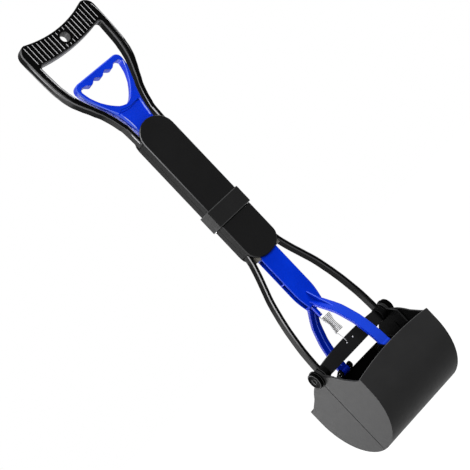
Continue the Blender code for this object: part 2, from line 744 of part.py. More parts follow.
# Fork: rod of H-section, guide in the lower casing, two curved tines with eyes
ROD_HALF = ROD_WIDTH / 2
NECK_HALF = NECK_WIDTH / 2
taper_steps = 6
half = []
for step in range(taper_steps + 1):
    share = step / taper_steps
    half.append((NECK_HALF + (ROD_HALF - NECK_HALF) * math.sin(math.pi / 2 * share),
                 NECK_HEIGHT + NECK_TAPER * share))
half.append((ROD_HALF, ROD_TOP - ROD_GUIDE - UPPER_ROUND / 4))
half.append((TAIL_OUTER - LEG_PAD_WIDTH - 2 * GAP, ROD_TOP - ROD_GUIDE))
half.append((TAIL_OUTER - LEG_PAD_WIDTH - 2 * GAP, ROD_TOP))
rod_outline = half + mirrored(half)[::-1]
shape = new_shape()
add_prism(shape, rod_outline, "Y", -ROD_DEPTH / 2, ROD_DEPTH / 2, TINE_CHAMFER)
fork = finish("fork", shape, "pull_fork", BLUE)

bare_rod = CASING_BOTTOM - NECK_HEIGHT
rib_heights = [CASING_BOTTOM, CASING_BOTTOM - bare_rod * ROD_RIB_SHARE]
pocket_ends = [ROD_TOP - ROD_GUIDE, rib_heights[0], rib_heights[1], NECK_HEIGHT + ROD_RIB]
shape = new_shape()
flange_inner = ROD_DEPTH / 2 - ROD_FLANGE
for high, low in zip(pocket_ends, pocket_ends[1:]):
    for side in (-1, 1):
        pocket = rectangle(-flange_inner, flange_inner, low + ROD_RIB / 2, high - ROD_RIB / 2)
        add_prism(shape, pocket, "X", side * ROD_WEB / 2, side * (ROD_HALF + OVERRUN))
cut(fork, finish("rod_recesses", shape, "pull_fork"))

shape = new_shape()
rod_guide = rectangle(-GUIDE_WIDTH / 2, GUIDE_WIDTH / 2, ROD_TOP - ROD_GUIDE, ROD_TOP - GAP)
add_prism(shape, rod_guide, "Y", -GUIDE_FACE, GUIDE_FACE)
join(fork, finish("rod_guide", shape, "pull_fork"))

# Reach and drop of a tine's middle line, as shares of its reach and of its drop to the eye
tine_shares = (
    (0.055, -0.060), (0.148, 0.000), (0.294, 0.083), (0.441, 0.167), (0.572, 0.250),
    (0.661, 0.333), (0.741, 0.417), (0.819, 0.500), (0.869, 0.583), (0.930, 0.700),
    (0.978, 0.833), (0.996, 0.917), (1.0, 1.0),
)
tine_drop = NECK_HEIGHT - LINK_HEIGHT
eye_hole = LINK_RADIUS + GAP
tine_half = TINE_WIDTH / 2
for side, place in ((-1, "front"), (1, "rear")):
    line = [(side * TINE_REACH * r, NECK_HEIGHT - tine_drop * d) for r, d in tine_shares]
    shape = new_shape()
    add_prism(shape, band(line, TINE_WALL), "X", -tine_half, tine_half, TINE_CHAMFER)
    join(fork, finish(place + "_tine", shape, "pull_fork"))
    shape = new_shape()
    eye_half = tine_half - TINE_CHAMFER
    eye_centre = (side * TINE_REACH, LINK_HEIGHT)
    add_bar(shape, "X", eye_centre, EYE_RADIUS, -eye_half, eye_half, 16)
    join(fork, finish(place + "_eye", shape, "pull_fork"))

# Peg in the crotch, which holds the spring
shape = new_shape()
peg_low = NECK_HEIGHT - PEG_LENGTH
peg_x = (-PEG_OFFSET - PEG_WIDTH / 2, -PEG_OFFSET + PEG_WIDTH / 2)
peg = rectangle(*peg_x, peg_low, NECK_HEIGHT + ROD_RIB / 2)
add_prism(shape, peg, "Y", -PEG_WIDTH / 2, PEG_WIDTH / 2)
join(fork, finish("spring_peg", shape, "pull_fork"))
PEG_HOLE_HEIGHT = peg_low + PEG_WIDTH / 2 + GAP

shape = new_shape()
for side in (-1, 1):
    reach = tine_half + OVERRUN
    add_bar(shape, "X", (side * TINE_REACH, LINK_HEIGHT), eye_hole, -reach, reach, 14)
reach = PEG_WIDTH / 2 + FUSE
add_bar(shape, "Y", (-PEG_OFFSET, PEG_HOLE_HEIGHT), SPRING_HOLE_RADIUS, -reach, reach, 10)
cut(fork, finish("fork_holes", shape, "pull_fork"))

# Pins that join the tines to the lugs of the jaws
LUG_INNER = TINE_WIDTH / 2 + 3 * GAP
LUG_OUTER = LUG_INNER + LUG_WALL
for side, place in ((-1, "front"), (1, "rear")):
    head = LUG_OUTER + GAP
    tip = head + LINK_HEAD
    profile = [(-tip, 0), (-tip, LINK_HEAD_RADIUS), (-head, LINK_HEAD_RADIUS)]
    profile += [(-head, LINK_RADIUS), (head, LINK_RADIUS), (head, LINK_HEAD_RADIUS)]
    profile += [(tip, LINK_HEAD_RADIUS), (tip, 0)]
    shape = new_shape()
    add_turned(shape, profile, "X", (side * TINE_REACH, LINK_HEIGHT), 14)
    finish(place + "_link_pin", shape, "pull_fork", BLACK_PIVOT, 40)

# Legs: from pads in the lower casing out to the bosses that the jaws turn on
LEG_STEPS = 2
# Height from the hinge up to the casing, and the way out from the casing's side to the bosses
leg_shares = (
    (0.975, 0.0111), (0.935, 0.0457), (0.897, 0.1010), (0.852, 0.1701), (0.800, 0.2600),
    (0.761, 0.3326), (0.716, 0.4139), (0.671, 0.4969), (0.626, 0.5695), (0.581, 0.6300),
    (0.535, 0.6853), (0.490, 0.7389), (0.445, 0.7839), (0.400, 0.8288), (0.310, 0.8963),
    (0.219, 0.9550), (0.120, 0.9862), (0.040, 1.0000), (0.0, 1.0000),
)
leg_rise = LOWER_SIDE_END - HINGE_HEIGHT
leg_shoulder = LOWER_SIDE_END - GAP
leg_line = [(CASING_HALF - GAP, leg_shoulder)]
leg_way = LEG_OUTER - CASING_HALF
leg_line += [(CASING_HALF + leg_way * x, HINGE_HEIGHT + leg_rise * z) for z, x in leg_shares]
leg_outer = smooth_line(leg_line, LEG_STEPS)
leg_inner = offset_line(leg_outer, -LEG_WIDTH)
leg_outline = leg_outer + leg_inner[::-1]


def make_leg(side):
    shape = new_shape()
    outline = leg_outline if side > 0 else mirrored(leg_outline)
    add_prism(shape, outline, "Y", -LEG_DEPTH / 2, LEG_DEPTH / 2, LEG_CHAMFER)
    return shape


lower_frame = finish("lower_frame", make_leg(1), "scoop_half", BLACK_GLOSS)
bar_half = LEG_OUTER - LEG_WIDTH / 2
bar_low = HINGE_HEIGHT - CROSSBAR_HEIGHT / 2
bar_steps = 8
crossbar = [(-bar_half, bar_low), (bar_half, bar_low)]
for step in range(bar_steps + 1):
    x = bar_half * (1 - 2 * step / bar_steps)
    arch = CROSSBAR_ARCH * (1 - (x / bar_half) ** 2)
    crossbar.append((x, bar_low + CROSSBAR_HEIGHT + arch))
shape = new_shape()
add_prism(shape, crossbar, "Y", -CROSSBAR_DEPTH / 2, CROSSBAR_DEPTH / 2)
join(lower_frame, finish("crossbar", shape, "scoop_half"))
join(lower_frame, finish("left_leg", make_leg(-1), "scoop_half"))

pad_inner = TAIL_OUTER - LEG_PAD_WIDTH
pad_low = leg_shoulder - CASING_WALL
for side, place in ((-1, "left"), (1, "right")):
    shape = new_shape()
    pad = rectangle(side * TAIL_OUTER, side * pad_inner, pad_low, pad_low + LEG_PAD_LENGTH)
    pad_depth = LEG_DEPTH / 2 - LEG_CHAMFER / 4
    add_prism(shape, pad, "Y", -pad_depth, pad_depth)
    join(lower_frame, finish(place + "_pad", shape, "scoop_half"))
    shape = new_shape()
    boss_chamfer = LEG_CHAMFER / 2
    ends = (side * BOSS_INNER, side * LEG_OUTER)
    add_prism(
        shape, circle((0, HINGE_HEIGHT), BOSS_RADIUS, 20), "X", *ends, boss_chamfer
    )
    join(lower_frame, finish(place + "_boss", shape, "scoop_half"))

shape = new_shape()
bolt_end = BOSS_INNER + CASING_WALL
for side in (-1, 1):
    centre = (0, HINGE_HEIGHT)
    far = side * (LEG_OUTER + OVERRUN)
    add_bar(shape, "X", centre, BOLT_HOLE, side * (bolt_end - GAP), far, 16)
    centre = (side * LOWER_SCREW[0], LOWER_SCREW[1])
    reach = LEG_DEPTH / 2 + OVERRUN
    add_bar(shape, "Y", centre, SCREW_HOLE, -reach, reach, SCREW_SIDES)
    centre = (side * SPRING_HOLE_OFFSET, HINGE_HEIGHT + SPRING_HOLE_RISE)
    reach = CROSSBAR_DEPTH / 2 + OVERRUN
    add_bar(shape, "Y", centre, SPRING_HOLE_RADIUS, -reach, reach, 10)
cut(lower_frame, finish("lower_frame_holes", shape, "scoop_half"))

# Bolts, washers and slotted caps of the jaws' pivots
bolt_tip = CAP_OUTER - SLOT_DEPTH - SCOOP_WALL
for side, place in ((-1, "left"), (1, "right")):
    shape = new_shape()
    ends = (side * bolt_end, side * bolt_tip)
    add_prism(shape, circle((0, HINGE_HEIGHT), BOLT_RADIUS, 16), "X", *ends, GAP)
    finish("pivot_bolt_" + place, shape, "jaw_axis", STEEL, 40)

    shape = new_shape()
    ring = [(side * WASHER_INNER, BOLT_HOLE), (side * WASHER_INNER, WASHER_RADIUS)]
    ring += [(side * WASHER_OUTER, WASHER_RADIUS), (side * WASHER_OUTER, BOLT_HOLE)]
    add_turned(shape, ring, "X", (0, HINGE_HEIGHT), 20, closed=True)
    finish("pivot_washer_" + place, shape, "jaw_axis", BLACK_PIVOT, 40)

    shape = new_shape()
    bore_end = bolt_tip + GAP
    profile = [(side * bore_end, 0), (side * bore_end, BOLT_HOLE), (side * CAP_INNER, BOLT_HOLE)]
    profile += [(side * CAP_INNER, CAP_RADIUS), (side * (CAP_OUTER - CAP_CHAMFER), CAP_RADIUS)]
    profile += [(side * CAP_OUTER, CAP_RADIUS - CAP_CHAMFER), (side * CAP_OUTER, 0)]
    add_turned(shape, profile, "X", (0, HINGE_HEIGHT), 24)
    cap = finish("pivot_cap_" + place, shape, "jaw_axis", BLACK_PIVOT, 40)
    shape = new_shape()
    slot_reach = CAP_RADIUS * 2 / 3
    slot = rectangle(
        -SLOT_WIDTH / 2, SLOT_WIDTH / 2, HINGE_HEIGHT - slot_reach, HINGE_HEIGHT + slot_reach
    )
    add_prism(shape, slot, "X", side * (CAP_OUTER - SLOT_DEPTH), side * (CAP_OUTER + OVERRUN))
    cut(cap, finish("driver_slot_" + place, shape, "jaw_axis"))

# Jaws: half-cylinders with end plates. The profile is relative to the hinge, side +1 behind
ARC_STEPS = 14
# Upper edge of an end plate from the rim to the pivot, as shares of the radius and rim drop
shoulder_shares = (
    (0.955, 1.045), (0.880, 1.000), (0.818, 0.937), (0.700, 0.790), (0.590, 0.652),
    (0.485, 0.467), (0.400, 0.340), (0.333, 0.259), (0.250, 0.185), (0.190, 0.140),
)
rim_top = RIM_DROP - RIM_ARCH
arc_middle = RIM_DROP + SCOOP_STRAIGHT


def jaw_outer(radius, side):
    """Outline of the curved wall from the parting line up to the rim, at this radius."""
    edge = GAP / 2
    low = math.degrees(math.asin(edge / radius))
    turns = arc((0, -arc_middle), radius, -90 + low, 0, ARC_STEPS)
    return [(side * y, HINGE_HEIGHT + z) for y, z in turns]


def make_jaw(name, side, ear_outline, ear_place):
    outline = jaw_outer(SCOOP_RADIUS, side)
    wall_inner = SCOOP_RADIUS - SCOOP_WALL
    top = HINGE_HEIGHT - rim_top
    outline += [(side * SCOOP_RADIUS, top), (side * wall_inner, top)]
    for reach, drop in shoulder_shares:
        outline.append((side * SCOOP_RADIUS * reach, HINGE_HEIGHT - RIM_DROP * drop))
    outline += ear_outline
    shape = new_shape()
    add_prism(shape, outline, "X", -PLATE_OUTER, PLATE_OUTER)
    jaw = finish(name, shape, "jaw_axis", BLACK_SCOOP)

    hollow = jaw_outer(wall_inner, side)[1:]
    hollow += [(side * wall_inner, HINGE_HEIGHT + EAR_RADIUS + OVERRUN)]
    hollow += [(-side * EAR_CLEAR - side * OVERRUN, HINGE_HEIGHT + EAR_RADIUS + OVERRUN)]
    hollow += [(-side * EAR_CLEAR - side * OVERRUN, hollow[0][1])]
    shape = new_shape()
    add_prism(shape, hollow, "X", -PLATE_INNER, PLATE_INNER)
    cut(jaw, finish(name + "_hollow", shape, "jaw_axis"))

    # Rim of the curved wall, highest in its middle, and nearly straight behind
    arch_steps = 12
    over = PLATE_OUTER + OVERRUN
    rim_arch = RIM_ARCH if side < 0 else REAR_RIM_ARCH
    rim = []
    for step in range(arch_steps + 1):
        x = over * (1 - 2 * step / arch_steps)
        rim.append((x, HINGE_HEIGHT - RIM_DROP + rim_arch * (1 - (x / PLATE_OUTER) ** 2) - GAP))
    rim += [(-over, HINGE_HEIGHT + OVERRUN), (over, HINGE_HEIGHT + OVERRUN)]
    shape = new_shape()
    inner_face = SCOOP_RADIUS * shoulder_shares[0][0]
    add_prism(shape, rim, "Y", side * inner_face, side * (SCOOP_RADIUS + OVERRUN))
    cut(jaw, finish(name + "_rim", shape, "jaw_axis"))

    # Lugs inside the wall, with the slots that the link pin slides in
    centre = (side * TINE_REACH, LINK_HEIGHT)
    out = Vector((side * TINE_REACH, -LINK_DROP)).normalized()
    across = Vector((-out.y, out.x))
    hinge = Vector((0, HINGE_HEIGHT))
    slot_near = TINE_REACH - GAP
    pin_far = math.hypot(TINE_REACH, LINK_DROP)
    wall_far = (SCOOP_RADIUS - SCOOP_WALL / 2) / abs(out.x)
    lug = []
    lug_half = LUG_HEIGHT / 2
    for step in range(9):
        turn = math.radians(90 + 180 * step / 8)
        point = hinge + out * (slot_near + lug_half * math.cos(turn))
        point += across * (lug_half * math.sin(turn))
        lug.append((point.x, point.y))
    for offset in (-1, 1):
        point = hinge + out * wall_far + across * (offset * lug_half)
        lug.append((max(min(point.x, SCOOP_RADIUS - FUSE), FUSE - SCOOP_RADIUS), point.y))
    for index, x_side in enumerate((-1, 1)):
        shape = new_shape()
        add_prism(shape, lug, "X", x_side * LUG_INNER, x_side * LUG_OUTER)
        join(jaw, finish(f"{name}_lug_{index}", shape, "jaw_axis"))
    slot = []
    for middle, start in ((pin_far + GAP, -90), (slot_near, 90)):
        for step in range(7):
            turn = math.radians(start + 180 * step / 6)
            point = hinge + out * (middle + LUG_SLOT * math.cos(turn))
            point += across * (LUG_SLOT * math.sin(turn))
            slot.append((point.x, point.y))
    shape = new_shape()
    reach = LUG_OUTER + OVERRUN
    add_prism(shape, slot, "X", -reach, reach)
    cut(jaw, finish(name + "_slots", shape, "jaw_axis"))

    if ear_place:
        ear = ear_place
        for index, x_side in enumerate((-1, 1)):
            shape = new_shape()
            add_prism(shape, ear[0], "X", x_side * EAR_INNER, x_side * EAR_OUTER)
            join(jaw, finish(f"{name}_ear_{index}", shape, "jaw_axis"))
            shape = new_shape()
            fused = PLATE_INNER + FUSE
            add_prism(shape, ear[1], "X", x_side * (EAR_OUTER - FUSE), x_side * fused)
            join(jaw, finish(f"{name}_ear_root_{index}", shape, "jaw_axis"))
    shape = new_shape()
    reach = PLATE_OUTER + OVERRUN
    for x_side in (-1, 1):
        ends = (x_side * (EAR_INNER - OVERRUN), x_side * reach)
        add_bar(shape, "X", (0, HINGE_HEIGHT), BOLT_HOLE, *ends, 16)
    cut(jaw, finish(name + "_pivot_holes", shape, "jaw_axis"))
    return jaw


hinge_point = (0, HINGE_HEIGHT)
edge_turn = math.degrees(math.asin(GAP / 2 / EAR_RADIUS))
rear_ear = arc(hinge_point, EAR_RADIUS, 0, 270 + edge_turn, 24)
make_jaw("rear_jaw", 1, rear_ear, None)
front_clear = arc(hinge_point, EAR_CLEAR, 195, 270 - edge_turn, 8)
root_corner = (EAR_CLEAR + GAP, EAR_CLEAR + RIM_DROP / 2)
front_ear = arc(hinge_point, EAR_RADIUS, -80, 185, 22)
front_ear += [(-root_corner[1], HINGE_HEIGHT - EAR_RADIUS), (-root_corner[1], HINGE_HEIGHT - RIM_DROP)]
front_ear += [(-EAR_RADIUS, HINGE_HEIGHT - RIM_DROP)]
ear_root = rectangle(
    -root_corner[1] + GAP, -root_corner[0], HINGE_HEIGHT - RIM_DROP + GAP, HINGE_HEIGHT - EAR_RADIUS - GAP
)
make_jaw("front_jaw", -1, front_clear, (front_ear, ear_root))

# Return spring: close waisted coil between the peg and the crossbar, with straight hooked ends
hook_level = HINGE_HEIGHT + SPRING_HOLE_RISE
coil_low = HINGE_HEIGHT + COIL_RISE
coil_turns = COIL_COUNT * COIL_SIDES
bar_face = CROSSBAR_DEPTH / 2 + 2 * WIRE_RADIUS + GAP
spring_points = [(-SPRING_HOLE_OFFSET, bar_face + WIRE_RADIUS, hook_level)]
spring_points += [(-SPRING_HOLE_OFFSET, 0, hook_level), (-SPRING_HOLE_OFFSET, -bar_face, hook_level)]
bend = 2 * WIRE_RADIUS
spring_points += [(-SPRING_HOLE_OFFSET, -bar_face - bend, hook_level + bend)]
lead_top = coil_low - COIL_PITCH
spring_points += [(-COIL_LOW_RADIUS, -bar_face, (hook_level + lead_top) / 2)]
spring_points += [(-COIL_LOW_RADIUS, -COIL_PITCH, lead_top)]
for step in range(coil_turns + 1):
    turn = math.pi + math.tau * step / COIL_SIDES
    height = coil_low + COIL_PITCH * step / COIL_SIDES
    share = step / coil_turns
    end_radius = COIL_LOW_RADIUS if 2 * share < 1 else COIL_TOP_RADIUS
    flare = math.cos(math.pi * share) ** 2
    radius = COIL_WAIST_RADIUS + (end_radius - COIL_WAIST_RADIUS) * flare
    spring_points.append((radius * math.cos(turn), -radius * math.sin(turn), height))
coil_high = coil_low + COIL_PITCH * COIL_COUNT
peg_face = PEG_WIDTH / 2 + 2 * WIRE_RADIUS + GAP
spring_points += [(-COIL_TOP_RADIUS, peg_face / 2, coil_high + COIL_PITCH)]
spring_points += [(-PEG_OFFSET, peg_face, PEG_HOLE_HEIGHT - bend)]
spring_points += [(-PEG_OFFSET, peg_face - bend / 2, PEG_HOLE_HEIGHT)]
spring_points += [(-PEG_OFFSET, 0, PEG_HOLE_HEIGHT), (-PEG_OFFSET, -peg_face, PEG_HOLE_HEIGHT)]

wire = bpy.data.curves.new("return_spring", "CURVE")
wire.dimensions = "3D"
wire.bevel_depth = WIRE_RADIUS
wire.bevel_resolution = 1
wire.use_fill_caps = True
run = wire.splines.new("POLY")
run.points.add(len(spring_points) - 1)
carrier_place = Vector(CARRIERS["scoop_half"])
for point, place in zip(run.points, spring_points):
    point.co = (*(Vector(place) - carrier_place), 1.0)
wire.materials.append(STEEL)
return_spring = bpy.data.objects.new("return_spring", wire)
bpy.context.collection.objects.link(return_spring)
return_spring.parent = empties["scoop_half"]

# Least gap of the spring to itself, between middle lines more than half a turn apart
least = COIL_LOW_RADIUS
apart = COIL_SIDES // 2 + 1
for index, place in enumerate(spring_points):
    for other in spring_points[index + apart:]:
        least = min(least, (Vector(place) - Vector(other)).length)
print(f"least gap of the spring to itself: {(least - 2 * WIRE_RADIUS) * 1000:.2f} mm")
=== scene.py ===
"""Looks of the jaw scoop: materials, finer pieces, camera, floor and lamps."""

import json
import math

import bmesh
import bpy
from mathutils import Matrix, Vector


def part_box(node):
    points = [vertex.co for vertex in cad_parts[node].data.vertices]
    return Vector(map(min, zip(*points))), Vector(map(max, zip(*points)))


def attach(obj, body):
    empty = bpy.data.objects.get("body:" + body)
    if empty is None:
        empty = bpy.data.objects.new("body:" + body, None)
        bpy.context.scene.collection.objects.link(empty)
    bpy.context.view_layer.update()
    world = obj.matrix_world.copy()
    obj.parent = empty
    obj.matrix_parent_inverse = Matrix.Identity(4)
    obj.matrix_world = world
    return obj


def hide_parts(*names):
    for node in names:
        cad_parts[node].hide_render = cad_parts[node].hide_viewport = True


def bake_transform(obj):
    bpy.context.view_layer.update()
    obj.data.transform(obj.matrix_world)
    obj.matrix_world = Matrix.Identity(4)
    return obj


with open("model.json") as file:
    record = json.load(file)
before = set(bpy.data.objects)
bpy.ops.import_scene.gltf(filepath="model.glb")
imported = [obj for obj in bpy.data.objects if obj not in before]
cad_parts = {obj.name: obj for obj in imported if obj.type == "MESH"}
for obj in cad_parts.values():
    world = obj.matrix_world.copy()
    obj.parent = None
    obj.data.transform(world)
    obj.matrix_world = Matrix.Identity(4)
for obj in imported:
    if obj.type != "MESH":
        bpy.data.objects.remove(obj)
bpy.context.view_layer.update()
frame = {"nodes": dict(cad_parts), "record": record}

# Camera, fitted to the photograph's outline
AZIMUTH = math.radians(-30.716)
ELEVATION = math.radians(0.030)
ROLL = math.radians(-43.457)
DISTANCE = 2.0742
FIELD = math.radians(14.7508)
AIM_HEIGHT = 0.29
AIM_ACROSS = -0.01166
AIM_UP = 0.00134

back = Vector((
    math.sin(AZIMUTH) * math.cos(ELEVATION),
    -math.cos(AZIMUTH) * math.cos(ELEVATION),
    math.sin(ELEVATION),
))
right = Vector((math.cos(AZIMUTH), math.sin(AZIMUTH), 0))
upward = back.cross(right)
rolled_right = right * math.cos(ROLL) + upward * math.sin(ROLL)
rolled_up = upward * math.cos(ROLL) - right * math.sin(ROLL)
aim = Vector((0, 0, AIM_HEIGHT)) + right * AIM_ACROSS + upward * AIM_UP
camera_data = bpy.data.cameras.new("camera")
camera_data.sensor_width = 36.0
camera_data.lens = camera_data.sensor_width / 2 / math.tan(FIELD / 2)
camera = bpy.data.objects.new("camera", camera_data)
bpy.context.collection.objects.link(camera)
turned = Matrix((rolled_right, rolled_up, back)).transposed().to_4x4()
camera.matrix_world = Matrix.Translation(aim + back * DISTANCE) @ turned
bpy.context.scene.camera = camera
bpy.context.scene.view_settings.view_transform = "Standard"

# What the plastics and wires have in common: noise as scale and detail, spread of roughness
# round its middle, strength of the grain, samples, and how open a corner with painted shade is
MOTTLE = (38.0, 4.0)
SHEEN = (140.0, 5.0)
SHEEN_SPREAD = (0.88, 1.14)
GRAIN_DETAIL = 2.0
GRAIN_STRENGTH = 0.5
DRAWN_DETAIL = 6.0
DRAWN_SPREAD = (0.8, 1.3)
EDGE_SAMPLES = 8
CORNER_SAMPLES = 16
CORNER_OPEN = (0.15, 0.80)

# Where the masks of painted light and shade go from nothing to the whole: agreement of a sharp
# edge's normals, product of two axes on a sloped face, X of a face that looks sideways, way from
# the middle plane, and share of a band's half-width
RIM_BEND = (0.86, 0.985)
RIM_FADE = 0.010
SLOPED = (0.20, 0.42)
SIDEWAYS = (0.80, 0.95)
MIDDLE = (-0.002, 0.002)
BAND_FADE = (0.6, 1.4)


def new_material(name):
    made = bpy.data.materials.new(name)
    made.use_nodes = True
    tree = made.node_tree
    return made, tree, tree.nodes["Principled BSDF"]


def put(tree, value, socket):
    """Sets a socket to a number, or links it to another node's output."""
    if isinstance(value, (int, float)):
        socket.default_value = value
    else:
        tree.links.new(value, socket)


def calc(tree, operation, first, second=0.0):
    node = tree.nodes.new("ShaderNodeMath")
    node.operation = operation
    put(tree, first, node.inputs[0])
    put(tree, second, node.inputs[1])
    return node.outputs[0]


def times(tree, first, second):
    return calc(tree, "MULTIPLY", first, second)


def unsigned(tree, value):
    return calc(tree, "ABSOLUTE", value)


def rise(tree, value, low, high, bottom=0.0, top=1.0):
    """Goes from bottom to top while the value goes from low to high."""
    node = tree.nodes.new("ShaderNodeMapRange")
    node.inputs["From Min"].default_value = low
    node.inputs["From Max"].default_value = high
    node.inputs["To Min"].default_value = bottom
    node.inputs["To Max"].default_value = top
    tree.links.new(value, node.inputs["Value"])
    return node.outputs["Result"]


def fall(tree, value, low, high, top=1.0):
    """Goes from top to nothing while the value goes from low to high."""
    return rise(tree, value, low, high, top, 0.0)


def split(tree, vector):
    node = tree.nodes.new("ShaderNodeSeparateXYZ")
    tree.links.new(vector, node.inputs["Vector"])
    return node.outputs


def laid_over(tree, amount, under, colour):
    node = tree.nodes.new("ShaderNodeMix")
    node.data_type = "RGBA"
    node.inputs["B"].default_value = (*colour, 1)
    tree.links.new(amount, node.inputs["Factor"])
    tree.links.new(under, node.inputs["A"])
    return node.outputs["Result"]


def noise(tree, place, scale, detail):
    node = tree.nodes.new("ShaderNodeTexNoise")
    node.inputs["Scale"].default_value = scale
    node.inputs["Detail"].default_value = detail
    tree.links.new(place, node.inputs["Vector"])
    return node.outputs["Fac"]


def toned(tree, value, dark, light, low=0.35, high=0.70):
    node = tree.nodes.new("ShaderNodeValToRGB")
    node.color_ramp.elements[0].position = low
    node.color_ramp.elements[0].color = (*dark, 1)
    node.color_ramp.elements[1].position = high
    node.color_ramp.elements[1].color = (*light, 1)
    tree.links.new(value, node.inputs["Fac"])
    return node.outputs["Color"]


def grey(tone):
    return (tone, tone, tone * 1.02)


def window(tree, value, low, high, soft):
    """One between low and high, and fading out over soft on both sides."""
    return times(tree, rise(tree, value, low - soft, low), fall(tree, value, high, high + soft))


def slope(tree, facing, first, second):
    """One on faces that lie between two axes, such as chamfers."""
    return rise(tree, unsigned(tree, times(tree, facing[first], facing[second])), *SLOPED)


def sideways(tree, facing):
    """One on faces that look along X."""
    return rise(tree, unsigned(tree, facing["X"]), *SIDEWAYS)


def plastic(name, dark, light, roughness, specular, grain, edge=0.0003,
            rim_highlight=None, chamfer_highlight=None, corner_shade=None, highlight_bands=None, marks=None):
    """Moulded plastic with slight mottling and moulded grain, and edges softened over edge.

    grain: scale and depth of the grain. rim: colour, amount and heights of a painted highlight
    on sharp edges. chamfer: colour, amount on chamfers that face out and in, and the share that
    grows to the whole between two heights, of a painted highlight on chamfers. crevice: reach and
    amount of painted shade, a darker tone in corners. bands: colour, half-width and heights of
    painted highlight lines round the piece. marks: a function that lays painted light and shade of
    this piece alone over the colour.
    """
    made, tree, shader = new_material(name)
    nodes, links = tree.nodes, tree.links
    coordinates = nodes.new("ShaderNodeTexCoord")
    where = coordinates.outputs["Object"]
    at = split(tree, where)
    facing = split(tree, coordinates.outputs["Normal"])
    colour = toned(tree, noise(tree, where, *MOTTLE), dark, light)
    soften = nodes.new("ShaderNodeBevel")
    soften.samples = EDGE_SAMPLES
    soften.inputs["Radius"].default_value = edge

    # Painted shade: a darker tone in corners
    if corner_shade:
        reach, amount = corner_shade
        corner = nodes.new("ShaderNodeAmbientOcclusion")
        corner.samples = CORNER_SAMPLES
        corner.inputs["Distance"].default_value = reach
        shade = fall(tree, corner.outputs["AO"], *CORNER_OPEN, amount)
        colour = laid_over(tree, shade, colour, (0, 0, 0))
    # Painted highlight on sharp edges
    if rim_highlight:
        rim_highlight_colour, amount, rim_low, rim_high = rim_highlight
        bent = nodes.new("ShaderNodeVectorMath")
        bent.operation = "DOT_PRODUCT"
        links.new(soften.outputs["Normal"], bent.inputs[0])
        links.new(nodes.new("ShaderNodeNewGeometry").outputs["Normal"], bent.inputs[1])
        edge_highlight = fall(tree, bent.outputs["Value"], *RIM_BEND, amount)
        edge_highlight = times(tree, edge_highlight, window(tree, at["Z"], rim_low, rim_high, RIM_FADE))
        colour = laid_over(tree, edge_highlight, colour, rim_highlight_colour)
    # Painted highlight on chamfers
    if chamfer_highlight:
        chamfer_highlight_colour, outward, inward, share, low, high = chamfer_highlight
        strength = rise(tree, times(tree, at["X"], facing["X"]), *MIDDLE, inward, outward)
        strength = times(tree, strength, rise(tree, at["Z"], low, high, share, 1.0))
        sloped_highlight = times(tree, slope(tree, facing, "X", "Y"), strength)
        colour = laid_over(tree, sloped_highlight, colour, chamfer_highlight_colour)
    # Painted highlight lines round the piece
    if highlight_bands:
        highlight_band_colour, half, levels = highlight_bands
        near = None
        for level in levels:
            gap = unsigned(tree, calc(tree, "SUBTRACT", at["Z"], level))
            near = gap if near is None else calc(tree, "MINIMUM", near, gap)
        line = fall(tree, near, *(half * share for share in BAND_FADE))
        colour = laid_over(tree, line, colour, highlight_band_colour)
    # Painted light and shade of this piece alone
    if marks:
        colour = marks(tree, at, facing, colour)
    links.new(colour, shader.inputs["Base Color"])

    smooth, rough = (min(roughness * share, 1.0) for share in SHEEN_SPREAD)
    spread = rise(tree, noise(tree, where, *SHEEN), 0.0, 1.0, smooth, rough)
    links.new(spread, shader.inputs["Roughness"])
    grain_scale, grain_depth = grain
    bump = nodes.new("ShaderNodeBump")
    bump.inputs["Strength"].default_value = GRAIN_STRENGTH
    bump.inputs["Distance"].default_value = grain_depth
    links.new(noise(tree, where, grain_scale, GRAIN_DETAIL), bump.inputs["Height"])
    links.new(soften.outputs["Normal"], bump.inputs["Normal"])
    links.new(bump.outputs["Normal"], shader.inputs["Normal"])
    shader.inputs["Specular IOR Level"].default_value = specular
    return made


def metal(name, dark, light, roughness, scale):
    """Wire or pin with fine drawing marks."""
    made, tree, shader = new_material(name)
    place = tree.nodes.new("ShaderNodeTexCoord").outputs["Object"]
    drawn = noise(tree, place, scale, DRAWN_DETAIL)
    smooth, rough = (roughness * share for share in DRAWN_SPREAD)
    tree.links.new(toned(tree, drawn, grey(dark), grey(light)), shader.inputs["Base Color"])
    tree.links.new(rise(tree, drawn, 0.0, 1.0, smooth, rough), shader.inputs["Roughness"])
    shader.inputs["Metallic"].default_value = 1.0
    return made


# Handle's painted light: heights of the arms' bend, of the left arm's painted highlight, of the
# arms' roots, of the ends of their flanks' painted highlight and of the grip's underside with
# painted light, depths of the flanks' painted highlight lines, and the hang hole with painted
# light on its wall
BEND = (0.500, 0.540)
LEFT_LIGHT = (0.510, 0.570)
ROOT = (0.468, 0.492)
FLANK_START = (0.528, 0.566)
FLANK_END = (0.580, 0.592)
FLANK_LINE = (0.0036, 0.0044)
UNDERSIDE = (0.572, 0.584)
HANG_HEIGHT = 0.5885
HANG_RADIUS = 0.0062
HOLE_FADE = 0.0003


